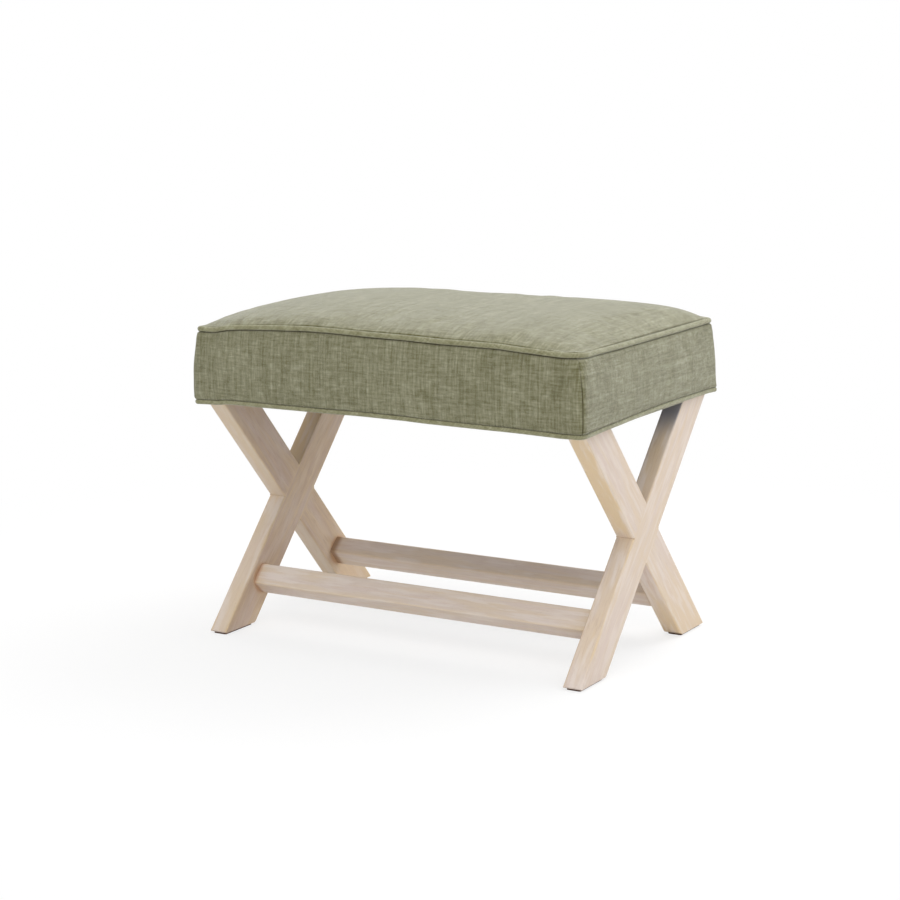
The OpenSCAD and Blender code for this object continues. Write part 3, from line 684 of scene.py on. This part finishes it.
def apply_modifiers(piece):
    graph = bpy.context.evaluated_depsgraph_get()
    mesh = bpy.data.meshes.new_from_object(piece.evaluated_get(graph))
    old = piece.data
    piece.modifiers.clear()
    piece.data = mesh
    bpy.data.meshes.remove(old)
    return piece


def refined(piece):
    """Splits and rounds the faces of a piece once."""
    finer = piece.modifiers.new("finer", "SUBSURF")
    finer.levels = finer.render_levels = 1
    return apply_modifiers(piece)


SEAM_COLUMNS = np.cumsum((0,) + SIDE_COUNTS[:-1])
FULL_POINTS, CUSHION_FACES, RING_COUNT = cushion_points(1.0)
FIRST_BAND = len(INNER_HEIGHTS)
LAST_BAND = FIRST_BAND + len(BAND_LEVELS) - 1
# Simulation of the cover: its start, what is held, its cloth, and how far in mm it may leave the drawn form
START_SWELL, START_NOISE = 0.92, 0.08 * MM
HELD_STEPS, HELD_RIM_RINGS = 5, 3
SIM_FRAMES = 20
CLOTH_SETTINGS = {
    "quality": 6, "mass": 0.25, "tension_stiffness": 18, "compression_stiffness": 18, "shear_stiffness": 6,
    "bending_stiffness": 0.6, "use_pressure": True, "uniform_pressure_force": 4, "shrink_min": -0.006,
    "vertex_group_mass": "held",
}
BAND_LOOSE, TOP_LOOSE, CORNER_LOOSE = 0.6, 0.7, 1.1


def inflate(cushion):
    """Fills the cover with air as cloth, with its seams held, and keeps it near the drawn form."""
    start, _, _ = cushion_points(START_SWELL)
    start = start + rng.normal(0, START_NOISE, start.shape)
    held = np.zeros(len(start), bool)
    held[:(FIRST_BAND + HELD_STEPS) * RING] = True
    held[(LAST_BAND - HELD_STEPS + 1) * RING:(LAST_BAND + HELD_RIM_RINGS) * RING] = True
    start[held] = FULL_POINTS[held]
    write_points(cushion.data, start)
    group = cushion.vertex_groups.new(name="held")
    group.add([int(i) for i in np.flatnonzero(held)], 1.0, "REPLACE")
    cloth = cushion.modifiers.new("cloth", "CLOTH")
    for key, value in CLOTH_SETTINGS.items():
        setattr(cloth.settings, key, value)
    cloth.settings.effector_weights.gravity = 0
    cloth.collision_settings.use_collision = False
    cloth.collision_settings.use_self_collision = False
    for number in range(1, SIM_FRAMES + 1):
        bpy.context.scene.frame_set(number)
    apply_modifiers(cushion)
    cushion.vertex_groups.clear()
    moved = read_points(cushion.data) - FULL_POINTS
    reach = np.linalg.norm(moved, axis=1, keepdims=True)
    # The top near the front right corner may wrinkle most, its rim and the bands least
    on_top = np.arange(len(FULL_POINTS)) >= LAST_BAND * RING
    away = np.linalg.norm(FULL_POINTS[:, :2] - TOP_HALF * (0.8, -1.0), axis=1)
    off_rim = np.maximum((TOP_HALF - np.abs(FULL_POINTS[:, :2])).min(axis=1), 0)
    loose = TOP_LOOSE + CORNER_LOOSE * np.exp(-(away / (200 * MM)) ** 2)
    loose = loose * (1 - 0.8 * np.exp(-off_rim / (9 * MM)))
    limit = (np.where(on_top, loose, BAND_LOOSE) * MM)[:, None]
    write_points(cushion.data, FULL_POINTS + moved * np.tanh(reach / limit) * limit / np.maximum(reach, 1e-9))


PUCKER_REACH = 8 * MM
PUCKER_UNDER_TOP, PUCKER_OVER_BOTTOM, PUCKER_ON_TOP = 0.20 * MM, 0.14 * MM, 0.20 * MM


def value_noise(count, step, seed):
    """Smooth values round the ring, one knot each step of the ring's points."""
    knots = np.random.default_rng(seed).normal(0, 1, max(4, count // step))
    places = np.arange(count) * len(knots) / count
    low = np.floor(places).astype(int)
    share = places - low
    share = share * share * (3 - 2 * share)
    return knots[low % len(knots)] * (1 - share) + knots[(low + 1) % len(knots)] * share


def pucker(points):
    """Slight gathers where the cover is eased on to the piping, and the grooves of the corner seams."""
    waves = [value_noise(RING, step, seed) for step, seed in ((3, 11), (4, 12), (4, 13))]
    near = np.exp(-(np.linalg.norm(FULL_POINTS[:RING, :2] - BASE_HALF * CORNERS[1], axis=1) / (60 * MM)) ** 2)
    waves = [wave * (0.35 + near) for wave in waves]
    for r in range(FIRST_BAND + 1, LAST_BAND):
        up = BAND_LEVELS[r - FIRST_BAND] * BAND_HEIGHT
        down = BAND_HEIGHT - up
        rows = slice(r * RING, (r + 1) * RING)
        outwards = points[rows, :2] / np.linalg.norm(points[rows, :2], axis=1, keepdims=True)
        wave = (waves[0] * math.exp(-down / PUCKER_REACH) * PUCKER_UNDER_TOP
                + waves[2] * math.exp(-up / PUCKER_REACH) * PUCKER_OVER_BOTTOM)
        points[rows, :2] += outwards * wave[:, None]
    for r in range(LAST_BAND + 1, RING_COUNT):
        depth = FRAME_RINGS[min(r - LAST_BAND, len(FRAME_RINGS) - 1)] * FRAME_DEPTH
        rows = slice(r * RING, (r + 1) * RING)
        points[rows, 2] += waves[1] * math.exp(-depth / PUCKER_REACH) * PUCKER_ON_TOP
    for corner in SEAM_COLUMNS:
        column = np.arange(FIRST_BAND, LAST_BAND + 1) * RING + corner
        inward = -points[column, :2] / np.linalg.norm(points[column, :2], axis=1, keepdims=True)
        points[column, :2] += inward * SEAM_DEPTH
    return points


def crease_corner_seams(cushion):
    """Keeps the bottoms of the corner seams' grooves sharp when the form is subdivided."""
    edit = bmesh.new()
    edit.from_mesh(cushion.data)
    crease = edit.edges.layers.float.new("crease_edge")
    edit.verts.ensure_lookup_table()
    for corner in SEAM_COLUMNS:
        for r in range(FIRST_BAND, LAST_BAND):
            ends = [edit.verts[int(level * RING + corner)] for level in (r, r + 1)]
            edit.edges.get(ends)[crease] = 1.0
    edit.to_mesh(cushion.data)
    edit.free()


def add_underside(cushion):
    """Closes the form with one flat face on the deck."""
    edit = bmesh.new()
    edit.from_mesh(cushion.data)
    rim = [e for e in edit.edges if e.is_boundary]
    bmesh.ops.contextual_create(edit, geom=rim)
    bmesh.ops.recalc_face_normals(edit, faces=edit.faces)
    edit.to_mesh(cushion.data)
    edit.free()


linen_front = linen("linen_front", 0, 2)
linen_end = linen("linen_end", 2, 1, contrast=1.15, slubs=END_SLUBS)
linen_top = linen("linen_top", 0, 1, relief_size=TOP_RELIEF, finish=TOP_CLOTH)
# Darker, duller copies of the linen for the seams' crevices: painted shade
painted_shade_linen = linen("painted_shade_linen", 0, 2, finish=DULL_CLOTH)
linen_piping = linen_bias("linen_piping", PIPING_CLOTH)
painted_shade_piping_linen = linen_bias("painted_shade_piping_linen", DULL_CLOTH)

cushion = new_mesh("cushion", FULL_POINTS, CUSHION_FACES, (linen_top, linen_front, linen_end, painted_shade_linen))
# Painted shade in the seams: darker along the front and the back than at the ends, and less at the bottom
SEAM_SHADE = np.repeat([1.0, 0.55, 1.0, 0.55], SIDE_COUNTS)
LOWER_SEAM_SHADE = 0.72
from_edge = np.full(RING_COUNT * RING, 1.0)
for r, t in enumerate(BAND_LEVELS, start=FIRST_BAND):
    from_edge[r * RING:(r + 1) * RING] = min(t, 1 - t) * BAND_HEIGHT / MM
# Painted shade: full in the seams' crevices and on the walls round the base, fading over 4 mm from the seams
painted_crevice_shade = np.zeros(len(FULL_POINTS))
painted_crevice_shade[:len(from_edge)] = np.interp(from_edge, [0, 0.6, 1.6, 4.0], [1.0, 1.0, 0.4, 0.0])
painted_crevice_shade[:FIRST_BAND * RING] = 1.0
painted_crevice_shade[(LAST_BAND + 1) * RING:] = 0.0
painted_crevice_shade[:len(from_edge)] *= np.tile(SEAM_SHADE, RING_COUNT)
painted_crevice_shade[:(LAST_BAND + FIRST_BAND) // 2 * RING] *= LOWER_SEAM_SHADE
# The corner seams also get painted shade, less towards the top
for column in SEAM_COLUMNS:
    for step, shade in ((0, 1.0), (1, 0.25), (RING - 1, 0.25)):
        rows = np.arange(FIRST_BAND, LAST_BAND + 1) * RING + (column + step) % RING
        painted_crevice_shade[rows] = np.maximum(painted_crevice_shade[rows], shade * np.interp(BAND_LEVELS, [0.60, 0.85], [1.0, 0.45]))
cushion.data.attributes.new("painted_crevice_shade", "FLOAT", "POINT").data.foreach_set("value", painted_crevice_shade)
on_side = np.concatenate([np.full(n, k) for k, n in enumerate(SIDE_COUNTS)])
# Faces deep in the painted shade take the dull copy of the linen
slots = []
for face in CUSHION_FACES:
    if face[0] // RING >= LAST_BAND:
        slots.append(0)
    elif painted_crevice_shade[list(face)].mean() > 0.55:
        slots.append(3)
    else:
        slots.append(1 + on_side[face[0] % RING] % 2)
cushion.data.polygons.foreach_set("material_index", slots)
inflate(cushion)
write_points(cushion.data, pucker(read_points(cushion.data)))
crease_corner_seams(cushion)
refined(cushion)
add_underside(cushion)
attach(cushion, "root")
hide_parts("foam", "wadding", "top_panel", "front_band", "right_band", "back_band", "left_band")


# Piping
PIPING_SIDES = 14


def piping(name, plan, z, rise, thickness, cad_node, seed, seam_at, painted_seam_shade):
    """A cord in its cloth. The side's cloth leaves it at the angle seam_at, counted from straight out."""
    nudge = value_noise(RING, 6, seed) * 0.12 * MM
    centres = np.column_stack([plan, z + rise(plan[:, 0], plan[:, 1]) + nudge])
    ahead = np.roll(centres, -1, axis=0) - np.roll(centres, 1, axis=0)
    ahead /= np.linalg.norm(ahead, axis=1, keepdims=True)
    out = np.cross(ahead, [0, 0, 1.0])
    out /= np.linalg.norm(out, axis=1, keepdims=True)
    above = np.cross(out, ahead)
    thick = thickness * (1 + value_noise(RING, 5, seed + 1) * 0.012)
    points, faces, painted_crevice_shade, slots = [], [], [], []
    for i in range(PIPING_SIDES):
        angle = 360 * i / PIPING_SIDES
        turn = math.radians(angle)
        points.append(centres + (out * math.cos(turn) + above * math.sin(turn)) * thick[:, None])
        # Painted shade on the cord round the place where the side's cloth leaves it
        off = abs((angle - seam_at + 180) % 360 - 180)
        painted_crevice_shade.append(SEAM_SHADE * painted_seam_shade * np.interp(off, [25, 62], [1.0, 0.0]))
        mid = abs((angle + 180 / PIPING_SIDES - seam_at + 180) % 360 - 180)
        faces += ring_quads(i * RING, (i + 1) % PIPING_SIDES * RING, RING)
        # Faces in that painted shade take the dull copy of the piping's linen
        slots += [1 if mid < 45 and shade * painted_seam_shade > 0.7 else 0 for shade in SEAM_SHADE]
    made = new_mesh(name, np.vstack(points), faces, (linen_piping, painted_shade_piping_linen))
    made.data.polygons.foreach_set("material_index", slots)
    made.data.attributes.new("painted_crevice_shade", "FLOAT", "POINT").data.foreach_set("value", np.concatenate(painted_crevice_shade))
    refined(made)
    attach(made, "root")
    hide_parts(cad_node)


piping("cover_top_piping", outline(TOP_HALF, TOP_RADII, TOP_FLARE, TOP_PULL), TOP_PIPING_Z, top_rise,
       TOP_PIPING_R, "top_piping", 21, seam_at=-100, painted_seam_shade=1.0)
piping("cover_bottom_piping", outline(BOTTOM_HALF, BOTTOM_RADII, BOTTOM_FLARE, BOTTOM_PULL), BOTTOM_PIPING_Z,
       bottom_rise, BOTTOM_PIPING_R, "bottom_piping", 31, seam_at=100, painted_seam_shade=LOWER_SEAM_SHADE)


# Cover hem, turned in under the base and cut round the leg tops
HEM_HALF = np.array([0.2942, 0.1967])
NOTCH = np.array([0.2634, 0.1085])
NARROW_HEM = 5.2 * MM
HEM_CURL = np.array([(-2.6, -1.4), (-2.0, -2.6), (-0.8, -3.2), (0.8, -3.3)]) * MM


def hem_strip(k):
    """Points and quads of one side's hem: its outer edge turns up to the piping."""
    axis, across = k % 2, 1 - k % 2
    sign = -1 if k in (0, 3) else 1
    ends = NOTCH[axis]
    run = list(np.linspace(-ends, ends, 61 if axis == 0 else 27))
    wide = [HEM_WIDTH] * len(run)
    if axis == 0:
        corner = list(np.linspace(ends + 1.6 * MM, HEM_HALF[0] - 4 * MM, 5))
        run = [-c for c in corner[::-1]] + run + corner
        wide = [NARROW_HEM] * 5 + wide + [NARROW_HEM] * 5
    waver = value_noise(len(run), 3, 41 + k) * 0.5 * MM
    rows = []
    for place, width, shift in zip(run, wide, waver):
        spot = np.zeros(2)
        spot[axis], spot[across] = place, sign * BOTTOM_HALF[across]
        high = BOTTOM_PIPING_Z + bottom_rise(*spot)
        inwards = np.concatenate([HEM_CURL[:, 0], np.linspace(4 * MM, width + shift, 7)])
        heights = np.concatenate([high + (HEM_CURL[:, 1] - HEM_CURL[0, 1]) * (high - HEM_Z - FABRIC / 2)
                                  / (HEM_CURL[0, 1] - HEM_CURL[-1, 1]), np.full(7, HEM_Z + FABRIC / 2)])
        row = np.zeros((len(inwards), 3))
        row[:, axis] = place
        row[:, across] = sign * (HEM_HALF[across] - inwards)
        row[:, 2] = heights
        rows.append(row)
    points = np.vstack(rows)
    count = len(rows[0])
    return points, [grid_quad(i, j, count) for i in range(len(rows) - 1) for j in range(count - 1)]


def joined(parts):
    points, faces = [], []
    for some_points, some_faces in parts:
        start = sum(len(p) for p in points)
        points.append(some_points)
        faces += [tuple(start + v for v in face) for face in some_faces]
    return np.vstack(points), faces


def thickened(piece, thickness):
    solid = piece.modifiers.new("thick", "SOLIDIFY")
    solid.thickness = thickness
    solid.offset = 0
    return apply_modifiers(piece)


hem_points, hem_faces = joined([hem_strip(k) for k in range(4)])
hem = new_mesh("hem", hem_points, hem_faces, (linen_top,))
thickened(hem, 1.2 * MM)
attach(hem, "root")
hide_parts("cover_hem")

# Dust cover, stretched under the base with its edges folded in
DUST_HALF = np.array([0.2799, 0.1824])
DUST_Z = 0.3334
FOLD = 11 * MM
DUST_THICK = 0.4 * MM
DUST_SAG, FOLD_DROP = 0.5 * MM, 0.25 * MM
RIPPLE, RIPPLE_REACH = 0.12 * MM, 14 * MM


def dust_cover_sheet():
    """Points and quads of the dust cover, a little slack between its folds, without its cut corners."""
    xs = np.concatenate([np.linspace(-NOTCH[0], NOTCH[0], 65), NOTCH[0] + np.linspace(3, 16.5, 4) * MM])
    xs = np.concatenate([-xs[:64:-1], xs])
    ys = np.concatenate([np.linspace(-NOTCH[1], NOTCH[1], 27), NOTCH[1] + np.linspace(8, 73.9, 10) * MM])
    ys = np.concatenate([-ys[:26:-1], ys])
    grid_x, grid_y = np.meshgrid(xs, ys, indexing="ij")
    share = (1 - (grid_x / DUST_HALF[0]) ** 2) * (1 - (grid_y / DUST_HALF[1]) ** 2)
    in_x = DUST_HALF[0] - np.abs(grid_x)
    in_y = DUST_HALF[1] - np.abs(grid_y)
    inside = np.minimum(in_x, in_y)
    fold = np.clip((FOLD - inside) / (3 * MM), 0, 1)
    ripple = (np.sin(grid_x / (7.2 * MM)) * np.exp(-in_y / RIPPLE_REACH)
              + np.sin(grid_y / (7.0 * MM)) * np.exp(-in_x / RIPPLE_REACH))
    z = DUST_Z - DUST_SAG * share - FOLD_DROP * fold + RIPPLE * ripple
    points = np.column_stack([grid_x.ravel(), grid_y.ravel(), z.ravel()])
    ny = len(ys)
    faces = []
    for i in range(len(xs) - 1):
        for j in range(ny - 1):
            middle = np.array([abs(xs[i] + xs[i + 1]), abs(ys[j] + ys[j + 1])]) / 2
            if (middle < NOTCH).any():
                faces.append(grid_quad(i, j, ny))
    used = sorted({v for face in faces for v in face})
    place = {v: n for n, v in enumerate(used)}
    return points[used], [tuple(place[v] for v in face) for face in faces]


dust = dust_cover_material("dust_cover_cloth")
dust_sheet = new_mesh("dust_cover_cloth", *dust_cover_sheet(), (dust,))
thickened(dust_sheet, DUST_THICK)
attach(dust_sheet, "root")
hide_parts("dust_cover")


# Staples that hold both to the rails
def staple(x, y, z, along_x):
    """A crown of round wire with its two legs bent up into the rail."""
    half, drop, wire = 5 * MM, 1.6 * MM, 0.38 * MM
    path = [(-half, drop), (-half, 0.35 * MM), (-half + 0.35 * MM, 0), (0, -0.04 * MM), (half - 0.35 * MM, 0),
            (half, 0.35 * MM), (half, drop)]
    points, faces = [], []
    for n, (run, rise) in enumerate(path):
        before, after = path[max(n - 1, 0)], path[min(n + 1, len(path) - 1)]
        ahead = Vector((after[0] - before[0], 0, after[1] - before[1])).normalized()
        side = Vector((0, 1, 0))
        other = ahead.cross(side)
        for i in range(8):
            angle = math.pi * i / 4
            spot = Vector((run, 0, rise)) + (side * math.cos(angle) + other * math.sin(angle)) * wire
            spot = spot if along_x else Vector((-spot.y, spot.x, spot.z))
            points.append((spot.x + x, spot.y + y, spot.z + z))
    for n in range(len(path) - 1):
        faces += ring_quads(n * 8, (n + 1) * 8, 8)
    faces += [tuple(range(8)), tuple(range(len(points) - 1, len(points) - 9, -1))]
    return np.array(points), faces


def staple_row(half, reach, z, step):
    """Staples along all four sides, each a little out of line."""
    found = []
    for k in range(4):
        axis, across = k % 2, 1 - k % 2
        pitch = 2 * reach[axis] / round(2 * reach[axis] / step)
        for place in np.arange(-reach[axis], reach[axis] + step / 2, pitch):
            spot = np.zeros(2)
            spot[axis] = place + rng.normal(0, 1.2 * MM)
            spot[across] = (-1 if k in (0, 3) else 1) * half[across] + rng.normal(0, 0.5 * MM)
            found.append(staple(*spot, z, along_x=axis == 0))
    return found


steel = metal_material("zinc_steel", srgb(190, 192, 196), srgb(150, 152, 156), 0.34)
rows = staple_row(HEM_HALF - 8 * MM, NOTCH - 8 * MM, HEM_Z - 0.15 * MM, 36 * MM)
rows += staple_row(DUST_HALF - 6 * MM, NOTCH - 8 * MM, DUST_Z - 0.75 * MM, 42 * MM)
staples = new_mesh("staples", *joined(rows), (steel,))
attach(staples, "root")


# Felt pads under the feet
def felt_pad(cad_node, material):
    """A pad with rounded corners and edges, and slightly fluffy sides."""
    low, high = (np.array(c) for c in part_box(cad_node))
    middle, half = (low + high) / 2, (high - low) / 2
    radius = 3 * MM
    rings = []
    for z, inset in ((0.0, 0.7), (0.15, 0.3), (0.6, 0.05), (1.5, 0.0), (2.5, 0.06), (2.9, 0.25), (3.0, 0.5)):
        ring = []
        for sx, sy, start in ((1, 1, 0), (-1, 1, 90), (-1, -1, 180), (1, -1, 270)):
            for angle in np.radians(np.linspace(start, start + 90, 7)):
                ring.append((middle[0] + sx * (half[0] - radius) + (radius - inset * MM) * math.cos(angle),
                             middle[1] + sy * (half[1] - radius) + (radius - inset * MM) * math.sin(angle),
                             low[2] + z * MM))
        rings.append(np.array(ring))
    count = len(rings[0])
    points = np.vstack(rings)
    points[count:-count, :2] += rng.normal(0, 0.04 * MM, (len(points) - 2 * count, 2))
    faces = []
    for n in range(len(rings) - 1):
        faces += ring_quads(n * count, (n + 1) * count, count)
    faces += [tuple(range(count))[::-1], tuple(range(len(points) - count, len(points)))]
    pad = new_mesh(cad_node.replace("foot_pad", "felt_pad"), points, faces, (material,))
    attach(pad, "root")
    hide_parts(cad_node)


felt = felt_material("felt")
for corner in ("left_front", "left_back", "right_front", "right_back"):
    felt_pad(corner + "_foot_pad", felt)

# Wood and metal on the CAD nodes
pine_long = plain_wood("pine_long", 0, srgb(214, 184, 138), srgb(188, 150, 100), 2.2)
pine_short = plain_wood("pine_short", 1, srgb(214, 184, 138), srgb(188, 150, 100), 4.4)
finishes = {
    "left_front_leg": leg_material("limed_left_front", 1, 1.7, rubbed=1.2, low_tan=0.35, shade=0.15,
                                   tint=(LIMED_STAIN, 0.30, 20, 60)),
    # Its tint is a painted blue-grey shadow under the cushion
    "right_front_leg": leg_material("limed_right_front", 1, 21.7, rubbed=0.3,
                                    tint=(LIMED_PAINTED_SHADOW, 0.85, 130, 180)),
    "left_back_leg": leg_material("limed_left_back", -1, 5.9, rubbed=0.45, foot_tan=0.6, shade=0.45),
    "right_back_leg": leg_material("limed_right_back", -1, 35.9, rubbed=1.1, foot_tan=0.9),
    "front_stretcher": stretcher_material("limed_front_stretcher", -1, 9.1),
    "back_stretcher": stretcher_material("limed_back_stretcher", 1, 12.6),
    "stretcher_dowels": pine_long, "front_rail": pine_long, "back_rail": pine_long,
    "left_rail": pine_short, "right_rail": pine_short,
    "deck": plain_wood("plywood", 0, srgb(204, 168, 120), srgb(172, 132, 86), 6.6, plies=True),
    "leg_bolts": steel, "bolt_washers": steel, "corner_screws": steel, "deck_screws": steel,
    "leg_inserts": metal_material("brass", srgb(206, 174, 108), srgb(168, 134, 74), 0.38),
}
for name, material in finishes.items():
    nodes[name].data.materials.clear()
    nodes[name].data.materials.append(material)

# Studio
WHITE = (1.0, 1.0, 1.0, 1.0)
AMBIENT = 0.70
FLOOR_COLOUR = (0.90, 0.90, 0.90, 1.0)
FLOOR_HALF = 12


def is_ray(kind, tree):
    """1 for rays of one kind, such as those from the camera."""
    return node("LightPath", {}, f"Is {kind} Ray", tree)


world = bpy.data.worlds.new("studio")
bpy.context.scene.world = world
world.use_nodes = True
sky = world.node_tree
sky.nodes.clear()
mirrored = maths("MAXIMUM", is_ray("Glossy", sky), is_ray("Transmission", sky))
seen = maths("MAXIMUM", is_ray("Camera", sky), mirrored)
ambient = node("Background", {"Color": WHITE, "Strength": AMBIENT}, tree=sky)
backdrop = node("Background", {"Color": WHITE, "Strength": 1.0}, tree=sky)
node("OutputWorld", {"Surface": node("MixShader", {0: seen, 1: ambient, 2: backdrop})})


def lamp(name, place, aim, width, height, power):
    """A rectangular studio lamp at place, turned towards aim, with its power in watts."""
    light = bpy.data.lights.new(name, "AREA")
    light.shape = "RECTANGLE"
    light.size, light.size_y = width, height
    light.energy = power
    made = bpy.data.objects.new(name, light)
    bpy.context.scene.collection.objects.link(made)
    made.location = place
    made.rotation_mode = "QUATERNION"
    made.rotation_quaternion = (Vector(aim) - Vector(place)).to_track_quat("-Z", "Y")


lamp("front", (0.2, -2.0, 2.4), (0, 0, 0.25), 2.4, 1.8, 21.0)
lamp("right", (2.8, -0.3, 1.2), (0, 0, 0.25), 1.8, 1.6, 3.8)
lamp("overhead", (0.5, 0.3, 2.6), (0, 0, 0.3), 3.0, 2.4, 15.5)
lamp("behind", (0.8, 1.8, 2.2), (0, 0, 0.3), 2.4, 2.0, 45.0)

# The floor keeps the shadow near the object, turns white away from it, and is clear from below
floor_material, place = start_material("floor")
ground = place.tree
lit = node("BsdfDiffuse", {"Color": FLOOR_COLOUR}, tree=ground)
glow = node("Emission", {"Color": WHITE, "Strength": 1.0}, tree=ground)
clear = node("BsdfTransparent", {}, tree=ground)
away = node("VectorMath", {0: place}, "Value", operation="LENGTH")
whiten = is_ray("Camera", ground) * smooth(away, 0.45, 1.2, 0.72, 1.0)
under = node("NewGeometry", {}, "Backfacing", ground)
shown = node("MixShader", {0: whiten, 1: lit, 2: glow})
node("OutputMaterial", {"Surface": node("MixShader", {0: under, 1: shown, 2: clear})})
floor_points = [(x * FLOOR_HALF, y * FLOOR_HALF, 0) for x, y in CORNERS]
floor = new_mesh("floor", floor_points, [(0, 1, 2, 3)], (floor_material,))
